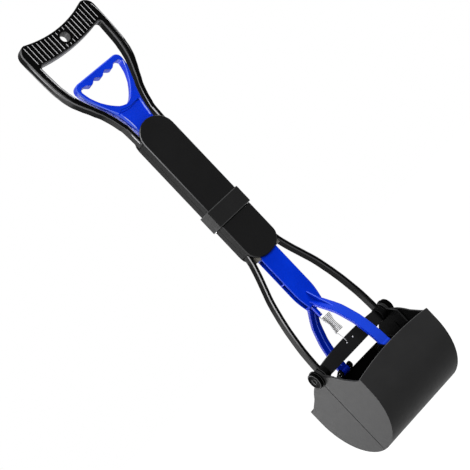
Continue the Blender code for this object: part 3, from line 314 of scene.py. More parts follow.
def handle_painted_highlights(tree, at, facing, colour):
    """Painted highlights on the arms' edges and flanks, and painted light on the grip's underside
    and the hang hole's wall.
    """
    outward = rise(tree, times(tree, at["X"], facing["X"]), *MIDDLE)
    inward = calc(tree, "SUBTRACT", 1.0, outward)
    outer = times(tree, outward, rise(tree, at["Z"], *BEND, 0.20, 0.34))
    left = times(tree, fall(tree, at["X"], *MIDDLE), window(tree, at["Z"], *LEFT_LIGHT, 0.010))
    root = rise(tree, at["Z"], *ROOT, 0.95, 0.22)
    inner = times(tree, inward, calc(tree, "MAXIMUM", root, left))
    edges = times(tree, slope(tree, facing, "X", "Y"), calc(tree, "ADD", outer, inner))
    colour = laid_over(tree, edges, colour, grey(0.55))

    flank_highlight = times(tree, outward, sideways(tree, facing))
    flank_highlight = times(tree, flank_highlight, window(tree, unsigned(tree, at["Y"]), *FLANK_LINE, 0.0009))
    flank_highlight = times(tree, flank_highlight, rise(tree, at["Z"], *FLANK_START, 0.0, 0.9))
    flank_highlight = times(tree, flank_highlight, fall(tree, at["Z"], *FLANK_END))
    colour = laid_over(tree, flank_highlight, colour, grey(0.50))

    down = fall(tree, facing["Z"], -0.95, -0.55, 0.85)
    underside_light = times(tree, down, window(tree, at["Z"], *UNDERSIDE, 0.002))
    colour = laid_over(tree, underside_light, colour, grey(0.34))

    aside = calc(tree, "POWER", at["X"], 2.0)
    above = calc(tree, "POWER", calc(tree, "SUBTRACT", at["Z"], HANG_HEIGHT), 2.0)
    from_middle = calc(tree, "SQRT", calc(tree, "ADD", aside, above))
    painted_hole_light = fall(tree, from_middle, HANG_RADIUS, HANG_RADIUS + HOLE_FADE, 0.8)
    return laid_over(tree, painted_hole_light, colour, grey(0.13))


# Crossbar: half-width and top of the part between the legs, whose front gets painted light
BAR_HALF = (0.048, 0.052)
BAR_TOP = (0.124, 0.128)


def crossbar_painted_light(tree, at, facing, colour):
    """Painted light: the crossbar's front is a little lighter than the legs."""
    front = fall(tree, facing["Y"], -0.9, -0.5)
    bar = times(tree, fall(tree, unsigned(tree, at["X"]), *BAR_HALF), front)
    bar = times(tree, bar, fall(tree, at["Z"], *BAR_TOP))
    return laid_over(tree, bar, colour, grey(0.0155))


# Scoop: heights between which the painted shade of the walls ends
WALL_SHADE = (0.0, 0.055)


def scoop_painted_light(tree, at, facing, colour):
    """Painted light on the side plates, a tone lighter than the walls, and painted shade on the
    walls, deeper near the shut edge.
    """
    lit_plate = sideways(tree, facing)
    shaded_wall = calc(tree, "SUBTRACT", 1.0, lit_plate)
    shaded_wall = times(tree, shaded_wall, fall(tree, at["Z"], *WALL_SHADE, 0.85))
    colour = laid_over(tree, shaded_wall, colour, grey(0.002))
    return laid_over(tree, lit_plate, colour, grey(0.040))


# Fork: depths where the tines' painted light and shade begin, and heights where the painted
# highlight lines on the rod's corners begin
FRONT_TINE_LIGHT = (-0.018, -0.012)
REAR_TINE_SHADE = (0.008, 0.014)
ROD_CORNER_HIGHLIGHTS = (0.165, 0.180)


def fork_painted_light(tree, at, facing, colour):
    """Painted light on the front tine, painted shade on the rear tine, and painted highlight lines
    on the rod's corners.
    """
    front = times(tree, fall(tree, at["Y"], *FRONT_TINE_LIGHT), fall(tree, facing["Y"], -0.8, -0.3))
    colour = laid_over(tree, times(tree, front, 0.13), colour, (0.09, 0.22, 0.75))
    rear = rise(tree, at["Y"], *REAR_TINE_SHADE, 0.0, 0.46)
    colour = laid_over(tree, rear, colour, (0.0, 0.0, 0.22))
    corner = times(tree, slope(tree, facing, "X", "Y"), rise(tree, at["Z"], *ROD_CORNER_HIGHLIGHTS))
    return laid_over(tree, times(tree, corner, 0.7), colour, (0.10, 0.18, 0.95))


# Finger loop: heights and half-width of the finger bumps, whose undersides get a painted highlight
BUMP_LEVELS = (0.512, 0.536)
BUMP_HALF = (0.032, 0.035)


def loop_painted_highlights(tree, at, facing, colour):
    """Painted highlights: light blue bevels, and pale undersides of the finger bumps."""
    bevel_highlight = calc(tree, "MAXIMUM", slope(tree, facing, "X", "Y"), slope(tree, facing, "Y", "Z"))
    colour = laid_over(tree, times(tree, bevel_highlight, 0.60), colour, (0.11, 0.19, 0.92))
    low = fall(tree, calc(tree, "ADD", facing["X"], facing["Z"]), -1.40, -1.30, 0.50)
    inside = window(tree, at["Z"], *BUMP_LEVELS, 0.004)
    inside = times(tree, inside, fall(tree, unsigned(tree, at["X"]), *BUMP_HALF))
    return laid_over(tree, times(tree, low, inside), colour, (0.34, 0.40, 0.95))


# Grains as scale and depth
GLOSS_GRAIN = (600, 0.000004)
BLUE_GRAIN = (1400, 0.000006)
SATIN_GRAIN = (2200, 0.00003)
MATT_GRAIN = (2600, 0.00003)
DETAIL_GRAIN = (900, 0.00001)
TAB_GRAIN = (900, 0.00002)
BLUE_DARK = (0.0, 0.031, 0.640)
BLUE_LIGHT = (0.0004, 0.039, 0.740)
# In these looks and the node looks below, the light edge, chamfer and band colours are painted
# highlights, the darker tone in corners is painted shade, and each marks function lays painted
# light and shade
LOOKS = {
    "black_gloss": plastic(
        "gloss_look", grey(0.0018), grey(0.0034), roughness=0.26, specular=0.014,
        grain=GLOSS_GRAIN, edge=0.0006, rim_highlight=(grey(0.34), 0.8, 0.535, 0.560), marks=handle_painted_highlights,
    ),
    "black_matt": plastic(
        "matt_look", grey(0.0098), grey(0.0112), roughness=0.55, specular=0.035,
        grain=MATT_GRAIN, edge=0.0005, chamfer_highlight=(grey(0.27), 0.9, 0.9, 0.25, 0.330, 0.430),
    ),
    "black_scoop": plastic(
        "scoop_look", grey(0.0215), grey(0.0245), roughness=0.46, specular=0.085,
        grain=SATIN_GRAIN, edge=0.0005, marks=scoop_painted_light,
    ),
    "black_pivot": plastic(
        "pivot_look", grey(0.0010), grey(0.0020), roughness=0.32, specular=0.008,
        grain=GLOSS_GRAIN,
    ),
    "blue": plastic(
        "blue_look", BLUE_DARK, BLUE_LIGHT, roughness=0.32, specular=0.10, grain=BLUE_GRAIN,
        edge=0.0006, marks=loop_painted_highlights,
    ),
    "steel": metal("steel_look", 0.36, 0.46, roughness=0.28, scale=1500),
}
# Painted highlight lines round the collar, just inside its top and bottom
collar_low, collar_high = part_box("lock_collar")
BAND_INSET = 0.0004
collar_highlight_levels = (collar_low.z + BAND_INSET, collar_high.z - BAND_INSET)
NODE_LOOKS = {
    "fork": plastic(
        "fork_look", BLUE_DARK, BLUE_LIGHT, roughness=0.32, specular=0.045, grain=BLUE_GRAIN,
        edge=0.0006, corner_shade=(0.011, 0.80), marks=fork_painted_light,
    ),
    "lower_frame": plastic(
        "legs_look", grey(0.0020), grey(0.0038), roughness=0.28, specular=0.017,
        grain=GLOSS_GRAIN, edge=0.0006, rim_highlight=(grey(0.12), 0.3, 0.120, 0.260),
        chamfer_highlight=(grey(0.46), 0.95, 0.14, 0.12, 0.135, 0.190), marks=crossbar_painted_light,
    ),
    "lock_collar": plastic(
        "collar_look", grey(0.0090), grey(0.0104), roughness=0.55, specular=0.098,
        grain=MATT_GRAIN, edge=0.0005, highlight_bands=(grey(0.055), 0.0006, collar_highlight_levels),
    ),
}
# Painted shade: near-black look for the scoop's inside and mouth, the cap slots and the dark lips
# in the seams, and also for the dark joint along the jaws' seam
PAINTED_SHADE_AND_SEAM = plastic(
    "painted_shade_and_seam_look", grey(0.0012), grey(0.0022), roughness=0.60, specular=0.01,
    grain=SATIN_GRAIN, edge=0.0005,
)
# Painted highlight: pale look of the crests on the grip's ribs and the fine beads along the arms
CREST_HIGHLIGHT = plastic(
    "crest_highlight_look", grey(0.62), grey(0.82), roughness=0.25, specular=0.15, grain=GLOSS_GRAIN,
)
# Painted highlight: lighter look of the rings on the pivot caps
ARC_HIGHLIGHT = plastic(
    "arc_highlight_look", grey(0.09), grey(0.15), roughness=0.25, specular=0.03, grain=GLOSS_GRAIN,
)
# Painted highlight: light blue of the beads on the neck, the web lines and the rib on the fork
BLUE_HIGHLIGHT = plastic(
    "blue_highlight_look", (0.07, 0.15, 0.95), (0.10, 0.19, 1.0), roughness=0.28, specular=0.10,
    grain=BLUE_GRAIN,
)
# Painted highlight: light blue of the lines on the finger loop
BLUE_LIP_HIGHLIGHT = plastic(
    "blue_lip_highlight_look", (0.13, 0.22, 1.0), (0.17, 0.27, 1.0), roughness=0.28, specular=0.10,
    grain=BLUE_GRAIN,
)
BLUE_SHINE = plastic(
    "blue_shine_look", (0.40, 0.48, 0.95), (0.55, 0.62, 1.0), roughness=0.25, specular=0.15,
    grain=BLUE_GRAIN,
)
# Painted shade: dark blue of the line along the top edge of the neck's panel
BLUE_SHADE_LINE = plastic(
    "blue_shade_line_look", (0.0, 0.010, 0.18), (0.0, 0.016, 0.24), roughness=0.4, specular=0.02,
    grain=BLUE_GRAIN,
)
TAB = plastic(
    "tab_look", (0.13, 0.125, 0.11), (0.18, 0.17, 0.15), roughness=0.5, specular=0.1,
    grain=TAB_GRAIN,
)
HOLE_LIGHT = plastic(
    "hole_light_look", grey(0.86), grey(0.95), roughness=0.5, specular=0.1, grain=DETAIL_GRAIN,
)
# Painted highlight: light grey of the bead on the front jaw's rim
FRONT_RIM_HIGHLIGHT = plastic(
    "rim_highlight_look", grey(0.08), grey(0.13), roughness=0.35, specular=0.1, grain=DETAIL_GRAIN,
)

# Smooth shading of the frame's solids: distance at which points are welded, and angle of a sharp
# edge. Scoop: how far a face of its inside looks to the middle, and the limits of its mouth, which
# get painted shade
WELD = 0.000002
SHARP = math.radians(26)
INWARD = -0.004
MOUTH_LIMITS = (
    ("X", "LESS_THAN", 0.0605), ("X", "GREATER_THAN", -0.0605), ("Y", "LESS_THAN", 0.061),
    ("Y", "GREATER_THAN", -0.061), ("Z", "GREATER_THAN", 0.074),
)


def compared(group, value, operation, limit):
    node = group.nodes.new("FunctionNodeCompare")
    node.data_type = "FLOAT"
    node.operation = operation
    node.inputs["B"].default_value = limit
    group.links.new(value, node.inputs["A"])
    return node.outputs["Result"]


def joined(group, operation, first, second):
    node = group.nodes.new("FunctionNodeBooleanMath")
    node.operation = operation
    group.links.new(first, node.inputs[0])
    group.links.new(second, node.inputs[1])
    return node.outputs[0]


def painted_inside_shade(group, geometry, material):
    """Paints the faces that look towards the upright middle, and all that is in the mouth, with
    the given material of painted shade.
    """
    nodes, links = group.nodes, group.links
    position = nodes.new("GeometryNodeInputPosition").outputs[0]
    level = nodes.new("ShaderNodeVectorMath")
    level.operation = "MULTIPLY"
    level.inputs[1].default_value = (1, 1, 0)
    links.new(position, level.inputs[0])
    toward = nodes.new("ShaderNodeVectorMath")
    toward.operation = "DOT_PRODUCT"
    links.new(level.outputs["Vector"], toward.inputs[0])
    links.new(nodes.new("GeometryNodeInputNormal").outputs[0], toward.inputs[1])
    inward = compared(group, toward.outputs["Value"], "LESS_THAN", INWARD)
    place = nodes.new("ShaderNodeSeparateXYZ")
    links.new(position, place.inputs[0])
    mouth = None
    for axis, operation, limit in MOUTH_LIMITS:
        within = compared(group, place.outputs[axis], operation, limit)
        mouth = within if mouth is None else joined(group, "AND", mouth, within)
    paint = nodes.new("GeometryNodeSetMaterial")
    paint.inputs["Material"].default_value = material
    links.new(geometry, paint.inputs["Geometry"])
    links.new(joined(group, "OR", inward, mouth), paint.inputs["Selection"])
    return paint.outputs["Geometry"]


def smoothing(name, inside=None):
    """Geometry nodes that shade a faceted mesh smooth between its sharp edges.

    With a material for the inside, the scoop's inside and mouth get it as painted shade.
    """
    group = bpy.data.node_groups.new(name, "GeometryNodeTree")
    for way in ("INPUT", "OUTPUT"):
        group.interface.new_socket("Geometry", in_out=way, socket_type="NodeSocketGeometry")
    nodes, links = group.nodes, group.links
    start = nodes.new("NodeGroupInput")
    end = nodes.new("NodeGroupOutput")
    weld = nodes.new("GeometryNodeMergeByDistance")
    weld.inputs["Distance"].default_value = WELD
    faces = nodes.new("GeometryNodeSetShadeSmooth")
    faces.domain = "FACE"
    edges = nodes.new("GeometryNodeSetShadeSmooth")
    edges.domain = "EDGE"
    edges.inputs["Shade Smooth"].default_value = False
    angle = nodes.new("GeometryNodeInputMeshEdgeAngle").outputs["Unsigned Angle"]
    links.new(start.outputs["Geometry"], weld.inputs["Geometry"])
    links.new(weld.outputs["Geometry"], faces.inputs["Geometry"])
    links.new(faces.outputs["Geometry"], edges.inputs["Geometry"])
    links.new(compared(group, angle, "GREATER_THAN", SHARP), edges.inputs["Selection"])
    last = edges.outputs["Geometry"]
    if inside:
        last = painted_inside_shade(group, last, inside)
    links.new(last, end.inputs["Geometry"])
    return group


SMOOTH = smoothing("smooth_by_angle")
SMOOTH_JAW = smoothing("smooth_jaw", PAINTED_SHADE_AND_SEAM)

slots = {entry["node"]: entry["material_slot"] for entry in frame["record"]["subparts"]}
for node, obj in frame["nodes"].items():
    for place in obj.material_slots:
        place.link = "OBJECT"
        place.material = NODE_LOOKS.get(node, LOOKS[slots[node]])
    smooth = obj.modifiers.new("smooth", "NODES")
    smooth.node_group = SMOOTH_JAW if node.endswith("_jaw") else SMOOTH


# Angles above which an edge is sharp, on most pieces and on tubes
PIECE_SHARP = math.radians(35)
TUBE_SHARP = math.radians(60)


def finished(name, shape, material, body=None, sharp=PIECE_SHARP):
    bmesh.ops.recalc_face_normals(shape, faces=shape.faces)
    mesh = bpy.data.meshes.new(name)
    shape.to_mesh(mesh)
    shape.free()
    mesh.shade_smooth()
    mesh.set_sharp_from_angle(angle=sharp)
    mesh.materials.append(material)
    made = bpy.data.objects.new(name, mesh)
    bpy.context.collection.objects.link(made)
    if body:
        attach(made, body)
    return made


def add_tube(shape, points, radius, sides):
    """Adds a round tube along points, with frames carried along the line and both ends closed."""
    line = [Vector(p) for p in points]
    ahead = (line[1] - line[0]).normalized()
    across = ahead.orthogonal().normalized()
    rings = []
    for index, point in enumerate(line):
        before = line[max(index - 1, 0)]
        after = line[min(index + 1, len(line) - 1)]
        new_ahead = (after - before).normalized()
        across = (ahead.rotation_difference(new_ahead) @ across).normalized()
        ahead = new_ahead
        up = ahead.cross(across)
        ring = []
        for side in range(sides):
            turn = math.tau * side / sides
            out = across * math.cos(turn) + up * math.sin(turn)
            ring.append(shape.verts.new(point + out * radius))
        rings.append(ring)
    for low, high in zip(rings, rings[1:]):
        for side in range(sides):
            other = (side + 1) % sides
            shape.faces.new((low[side], low[other], high[other], high[side]))
    shape.faces.new(rings[0][::-1])
    shape.faces.new(rings[-1])


def tubes(name, lines, radius, material, body=None, sides=8):
    shape = bmesh.new()
    for line in lines:
        add_tube(shape, line, radius, sides)
    return finished(name, shape, material, body, TUBE_SHARP)


def add_block(shape, *spans):
    """Adds a box that reaches from end to end of these spans in X, Y and Z."""
    made = bmesh.ops.create_cube(shape, size=1.0)
    for vert in made["verts"]:
        vert.co = [
            (low + high) / 2 + (high - low) * c
            for (low, high), c in zip(map(sorted, spans), vert.co)
        ]


def add_plate(shape, outline, x_low, x_high):
    """Adds a plate with this outline in Y and Z, between two x values."""
    near = [shape.verts.new((x_low, y, z)) for y, z in outline]
    far = [shape.verts.new((x_high, y, z)) for y, z in outline]
    shape.faces.new(near)
    shape.faces.new(far[::-1])
    for index in range(len(outline)):
        other = (index + 1) % len(outline)
        shape.faces.new((near[index], near[other], far[other], far[index]))


def rounded(points, steps):
    """Smooth line through the points, so that hooks and leads bend instead of kinking."""
    line = []
    padded = [points[0], *points, points[-1]]
    for index in range(len(points) - 1):
        before, start, end, after = (Vector(p) for p in padded[index : index + 4])
        for step in range(steps):
            t = step / steps
            bend = 2 * start + (end - before) * t
            bend += (2 * before - 5 * start + 4 * end - after) * t * t
            bend += (3 * start - before - 3 * end + after) * t * t * t
            line.append(bend / 2)
    line.append(Vector(points[-1]))
    return line


# Return spring: same route and turns as the frame's, with rounder wire and softer bends
WIRE = 0.0005
COIL_BOTTOM = 0.0053
COIL_WAIST = 0.0039
COIL_TOP = 0.0062
COIL_PITCH = 0.0016
COIL_COUNT = 15
COIL_LOW = 0.130
HOLE_LEVEL = 0.1155
HOLE_OUT = 0.0055
BAR_FACE = 0.0038
PEG_LEVEL = 0.1591
PEG_OUT = 0.0044
PEG_FACE = 0.0031
PER_TURN = 24
LEAD_STEPS = 4
coil_high = COIL_LOW + COIL_PITCH * COIL_COUNT
lower_lead = [
    (-HOLE_OUT, BAR_FACE + WIRE, HOLE_LEVEL), (-HOLE_OUT, 0, HOLE_LEVEL),
    (-HOLE_OUT, -BAR_FACE, HOLE_LEVEL), (-HOLE_OUT, -BAR_FACE - 2 * WIRE, HOLE_LEVEL + 2 * WIRE),
    (-COIL_BOTTOM, -BAR_FACE, (HOLE_LEVEL + COIL_LOW - COIL_PITCH) / 2),
    (-COIL_BOTTOM, -COIL_PITCH, COIL_LOW - COIL_PITCH),
]
coil = []
for step in range(COIL_COUNT * PER_TURN + 1):
    share = step / (COIL_COUNT * PER_TURN)
    turn = math.pi + math.tau * step / PER_TURN
    flared = COIL_BOTTOM if share < 0.5 else COIL_TOP
    radius = COIL_WAIST + (flared - COIL_WAIST) * math.cos(math.pi * share) ** 2
    level = COIL_LOW + COIL_PITCH * step / PER_TURN
    coil.append((radius * math.cos(turn), -radius * math.sin(turn), level))
upper_lead = [
    (-COIL_TOP, PEG_FACE / 2, coil_high + COIL_PITCH), (-PEG_OUT, PEG_FACE, PEG_LEVEL - 2 * WIRE),
    (-PEG_OUT, PEG_FACE - WIRE, PEG_LEVEL), (-PEG_OUT, 0, PEG_LEVEL),
    (-PEG_OUT, -PEG_FACE, PEG_LEVEL),
]
route = rounded(lower_lead + coil[:1], LEAD_STEPS)[:-1] + [Vector(p) for p in coil]
route += rounded([coil[-1]] + upper_lead, LEAD_STEPS)[1:]
spring_look = metal("spring_look", 0.24, 0.44, roughness=0.36, scale=1800)
spring = tubes("spring_wire", [route], WIRE, spring_look)
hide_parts("return_spring")
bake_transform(spring)

# Bright spots where light shows through both spring holes of the crossbar
SPOT_HALF = 0.0008
SPOT_DEEP = (-0.0028, -0.0024)
SPOT_LEVELS = (HOLE_LEVEL - 0.0018, HOLE_LEVEL - 0.0002)
holes = bmesh.new()
for side in (-1, 1):
    middle = side * HOLE_OUT
    add_block(holes, (middle - SPOT_HALF, middle + SPOT_HALF), SPOT_DEEP, SPOT_LEVELS)
finished("spring_holes", holes, HOLE_LIGHT, "scoop_body")

# Cable between the stem and the rod
CABLE = 0.0011
CABLE_LOW = 0.2741
CABLE_HIGH = 0.3079
CABLE_STEPS = 24
cable_line = [
    (0, 0, CABLE_LOW + (CABLE_HIGH - CABLE_LOW) * step / CABLE_STEPS)
    for step in range(CABLE_STEPS + 1)
]
cable = tubes("cable_strand", [cable_line], CABLE, LOOKS["steel"], sides=16)
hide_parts("pull_cable")
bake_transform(cable)

# Painted highlights as light crests on the ribs of the grip, front and back, which stop at the
# ring of the hang hole
RIB_COUNT = 19
RIB_PITCH = 0.0056
RIB_MARGIN = 0.0026
GRIP_TOP = 0.610
GRIP_SAG = 0.0085
CORNER_X = 0.0478
CORNER_RADIUS = 0.0120
UNDER = 0.580
UNDER_SAG = 0.0055
UNDER_X = 0.0504
GRIP_FACE = 0.0061
HANG_RING = 0.0090
CREST_RADIUS = 0.00034
crest_highlights = []
for index in range(RIB_COUNT):
    x = (index - (RIB_COUNT - 1) / 2) * RIB_PITCH
    over = abs(x) - CORNER_X
    top = GRIP_TOP - GRIP_SAG * (1 - (x / CORNER_X) ** 2)
    if over > 0:
        top = GRIP_TOP - CORNER_RADIUS + math.sqrt(CORNER_RADIUS**2 - over**2)
    low = UNDER - UNDER_SAG * (1 - min(abs(x) / UNDER_X, 1) ** 2) + RIB_MARGIN
    high = top - RIB_MARGIN
    spans = [(low, high)]
    if abs(x) < HANG_RING:
        half = math.sqrt(HANG_RING**2 - x**2)
        spans = [(low, HANG_HEIGHT - half), (HANG_HEIGHT + half, high)]
    for bottom, end in spans:
        for side in (-1, 1):
            crest_highlights.append([(x, side * GRIP_FACE, bottom), (x, side * GRIP_FACE, end)])
tubes("grip_crest_highlights", crest_highlights, CREST_RADIUS, CREST_HIGHLIGHT, "handle_body")

# Painted highlights as fine light beads along the arms' edges, front and back: inner one on the
# left, outer one on the right
ARM_STEPS = 4
EDGE_FACE = 0.0060
LEFT_RADIUS = 0.00046
RIGHT_RADIUS = 0.00036
left_edge_highlight = (
    (-0.0526, 0.5775), (-0.0523, 0.5689), (-0.0519, 0.5593), (-0.0509, 0.5480),
    (-0.0494, 0.5397), (-0.0475, 0.5316), (-0.0461, 0.5270),
)
right_edge_highlight = (
    (0.0562, 0.6000), (0.0576, 0.5910), (0.0581, 0.5800), (0.0579, 0.5680), (0.0574, 0.5560),
    (0.0560, 0.5450),
)
for name, edge, radius in (
    ("left_edge_highlights", left_edge_highlight, LEFT_RADIUS), ("right_edge_highlights", right_edge_highlight, RIGHT_RADIUS),
):
    lines = [
        rounded([(x, face * EDGE_FACE, z) for x, z in edge], ARM_STEPS) for face in (-1, 1)
    ]
    tubes(name, lines, radius, CREST_HIGHLIGHT, "handle_body")

# Painted highlight as a light line on the front of the left arm, where it goes into the casing
ROOT_RADIUS = 0.00055
left_root_highlight = (
    (-0.0247, -0.0052, 0.4545), (-0.0246, -0.0050, 0.4491), (-0.0244, -0.0048, 0.4440),
    (-0.0242, -0.0047, 0.4405),
)
root_line = rounded(left_root_highlight, ARM_STEPS)
tubes("left_root_highlight", [root_line], ROOT_RADIUS, CREST_HIGHLIGHT, "handle_body")

# Painted highlights as light beads along the sides of the neck's panel, with shines, and painted
# shade as a dark line along its top edge, front and back
LOOP_FACE = 0.0050
BEAD_SUNK = 0.0003
SHINE_OUT = 0.0005
SHINE_ASIDE = 0.0001
TOP_SUNK = 0.0002
BEAD_RADIUS = 0.0010
SHINE_RADIUS = 0.00042
TOP_RADIUS = 0.00045
BEAD_STEPS = 3
TOP_STEPS = 4
neck_sides = {
    1: [(0.0122, 0.4585), (0.0131, 0.4625), (0.0140, 0.4690), (0.0154, 0.4750), (0.0166, 0.4800)],
    -1: [(0.0138, 0.4562), (0.0139, 0.4610), (0.0144, 0.4680), (0.0156, 0.4745), (0.0168, 0.4800)],
}
panel_top = [
    (-0.0148, 0.4822), (-0.0120, 0.4833), (-0.0048, 0.4814), (0.0015, 0.4802), (0.0078, 0.4808),
    (0.0125, 0.4808), (0.0160, 0.4790),
]
bead_highlights = []
shines = []
shade_lines = []
for face in (-1, 1):
    for side in (-1, 1):
        bead = [(side * x, face * (LOOP_FACE - BEAD_SUNK), z) for x, z in neck_sides[side]]
        shine = [
            (side * (x + SHINE_ASIDE), face * (LOOP_FACE + SHINE_OUT), z)
            for x, z in neck_sides[side][:4]
        ]
        bead_highlights.append(rounded(bead, BEAD_STEPS))
        shines.append(rounded(shine, BEAD_STEPS))
    shade_lines.append(rounded([(x, face * (LOOP_FACE - TOP_SUNK), z) for x, z in panel_top], TOP_STEPS))
tubes("neck_bead_highlights", bead_highlights, BEAD_RADIUS, BLUE_HIGHLIGHT, "pull_body", sides=10)
tubes("neck_shines", shines, SHINE_RADIUS, BLUE_SHINE, "pull_body")
tubes("panel_top_shades", shade_lines, TOP_RADIUS, BLUE_SHADE_LINE, "pull_body")

# Painted highlights as bright lines on the front of the finger loop: by the wall of its opening
# and round its left side
LIP_RADIUS = 0.00055
LIP_STEPS = 4
loop_lip_highlights = (
    (
        (0.0346, -0.0050, 0.5242), (0.0314, -0.0047, 0.5162), (0.0274, -0.0034, 0.5083),
        (0.0223, -0.0029, 0.5005), (0.0161, -0.0026, 0.4935), (0.0105, -0.0022, 0.4885),
    ),
    (
        (-0.0378, -0.0040, 0.5297), (-0.0375, -0.0022, 0.5245), (-0.0350, -0.0028, 0.5152),
        (-0.0312, -0.0034, 0.5067), (-0.0267, -0.0042, 0.4977), (-0.0219, -0.0048, 0.4890),
        (-0.0178, -0.0050, 0.4820),
    ),
)
loop_glints = (
    ((0.0352, -0.0053, 0.5262), (0.0343, -0.0054, 0.5236), (0.0330, -0.0053, 0.5205)),
    ((-0.0377, -0.0030, 0.5265), (-0.0374, -0.0025, 0.5240), (-0.0363, -0.0026, 0.5195)),
)
for name, lines, material in (
    ("loop_lip_highlights", loop_lip_highlights, BLUE_LIP_HIGHLIGHT), ("loop_glints", loop_glints, BLUE_SHINE),
):
    lines = [rounded(line, LIP_STEPS) for line in lines]
    tubes(name, lines, LIP_RADIUS, material, "pull_body")

# Fork: thin web in the corner of the rod and each tine, with a painted highlight as a light edge
# on the front one, and a rib in a painted highlight colour along the rear tine. The tines' line is
# given in shares of their reach and drop
TINE_SHARES = (
    (0.055, -0.060), (0.148, 0.000), (0.294, 0.083), (0.441, 0.167), (0.572, 0.250),
    (0.661, 0.333), (0.741, 0.417), (0.819, 0.500), (0.869, 0.583), (0.930, 0.700),
    (0.978, 0.833), (0.996, 0.917), (1.0, 1.0),
)
TINE_REACH = 0.054
NECK = 0.172
TINE_DROP = 0.084
ROD_FACE = 0.0053
WEB_TOP = 0.1896
WEB_HALF = 0.0006
WEB_SUNK = 0.001
WEB_FOOT = (0.0330, 0.1490)
WEB_LOW = 0.147
WEB_NEAR = 0.004
WEB_SHINE = 0.00070
WEB_LINE = 0.00045
RIDGE = 0.0006
RIDGE_OUT = 0.0024
RIDGE_LEVELS = (0.094, 0.166)
RIDGE_STEPS = 6


def tine_line(side):
    return [(side * TINE_REACH * r, NECK - TINE_DROP * d) for r, d in TINE_SHARES]


for side, place in ((-1, "front"), (1, "rear")):
    outline = [(side * (ROD_FACE - WEB_SUNK), WEB_TOP), (side * ROD_FACE, WEB_TOP)]
    outline.append((side * WEB_FOOT[0], WEB_FOOT[1]))
    outline += [(y, z) for y, z in tine_line(side)[::-1] if z > WEB_LOW and abs(y) > WEB_NEAR]
    shape = bmesh.new()
    add_plate(shape, outline, -WEB_HALF, WEB_HALF)
    finished(place + "_web", shape, NODE_LOOKS["fork"], "fork_body")
web_highlight_line = [
    (0, -0.0062, 0.1884), (0, -0.0140, 0.1769), (0, -0.0220, 0.1652), (0, -0.0330, 0.1491),
]
tubes("web_shine", [web_highlight_line[:2]], WEB_SHINE, BLUE_HIGHLIGHT, "fork_body")
tubes("web_highlight_line", [web_highlight_line[1:]], WEB_LINE, BLUE_HIGHLIGHT, "fork_body")
rear_tine = tine_line(1)
rear_face = []
for index, (y, z) in enumerate(rear_tine):
    after = Vector(rear_tine[min(index + 1, len(rear_tine) - 1)])
    ahead = after - Vector(rear_tine[max(index - 1, 0)])
    out = Vector((-ahead.y, ahead.x)).normalized()
    if RIDGE_LEVELS[0] < z < RIDGE_LEVELS[1]:
        rear_face.append((0, y - out.x * RIDGE_OUT, z - out.y * RIDGE_OUT))
ridge_line = rounded(rear_face, RIDGE_STEPS)
tubes("rear_ridge_highlight", [ridge_line], RIDGE, BLUE_HIGHLIGHT, "fork_body", sides=10)


# Height of the axis that the jaws turn on, and steps round a turned piece
AXIS_HEIGHT = 0.110
TURNED_SIDES = 48


def turned_piece(name, profile, side, material, body, highlight_arcs):
    """Turns a profile of (x, radius) round the jaws' axis. The x values are for the right side.

    The rings of faces numbered in arcs get a painted highlight, in a lighter material.
    """
    shape = bmesh.new()
    rings = []
    for x, radius in profile:
        count = TURNED_SIDES if radius else 1
        turns = [math.tau * i / TURNED_SIDES for i in range(count)]
        rings.append([
            shape.verts.new((
                side * x, radius * math.cos(turn), AXIS_HEIGHT + radius * math.sin(turn),
            ))
            for turn in turns
        ])
    for number, (low, high) in enumerate(zip(rings, rings[1:])):
        for i in range(TURNED_SIDES):
            other = (i + 1) % TURNED_SIDES
            corners = [low[i % len(low)], low[other % len(low)]]
            corners += [high[other % len(high)], high[i % len(high)]]
            face = shape.faces.new(list(dict.fromkeys(corners)))
            face.material_index = 1 if number in highlight_arcs else 0
    made = finished(name, shape, material, body)
    made.data.materials.append(ARC_HIGHLIGHT)
    return made


# Pivot caps with a flange, a groove and a knob, with rings of painted highlight, and a dark strip
# of painted shade for the driver slot, in place of the frame's caps
CAP_PROFILE = (
    (0.06460, 0.0), (0.06460, 0.0107), (0.06485, 0.0110), (0.06640, 0.0110), (0.06665, 0.0108),
    (0.06670, 0.0104), (0.06675, 0.0090), (0.06690, 0.0086), (0.06740, 0.0086), (0.06755, 0.0090),
    (0.06760, 0.0098), (0.06790, 0.0101), (0.06990, 0.0100), (0.07060, 0.0095), (0.07090, 0.0087),
    (0.07090, 0.0083), (0.07090, 0.0074), (0.07050, 0.0068), (0.07030, 0.0060), (0.07030, 0.0036),
    (0.07030, 0.0031), (0.07030, 0.0),
)
CAP_HIGHLIGHT_ARCS = (4, 13, 19)
SLOT_HALF = 0.0011
SLOT_DEEP = (0.0701, 0.07038)
SLOT_LEVELS = (AXIS_HEIGHT - 0.0062, AXIS_HEIGHT + 0.0062)
for side, place in ((-1, "left"), (1, "right")):
    cap = turned_piece(
        "cap_" + place, CAP_PROFILE, side, LOOKS["black_pivot"], "scoop_body", CAP_HIGHLIGHT_ARCS,
    )
    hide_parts("pivot_cap_" + place)
    shape = bmesh.new()
    add_block(shape, [side * x for x in SLOT_DEEP], (-SLOT_HALF, SLOT_HALF), SLOT_LEVELS)
    finished("cap_slot_" + place, shape, PAINTED_SHADE_AND_SEAM, "scoop_body")

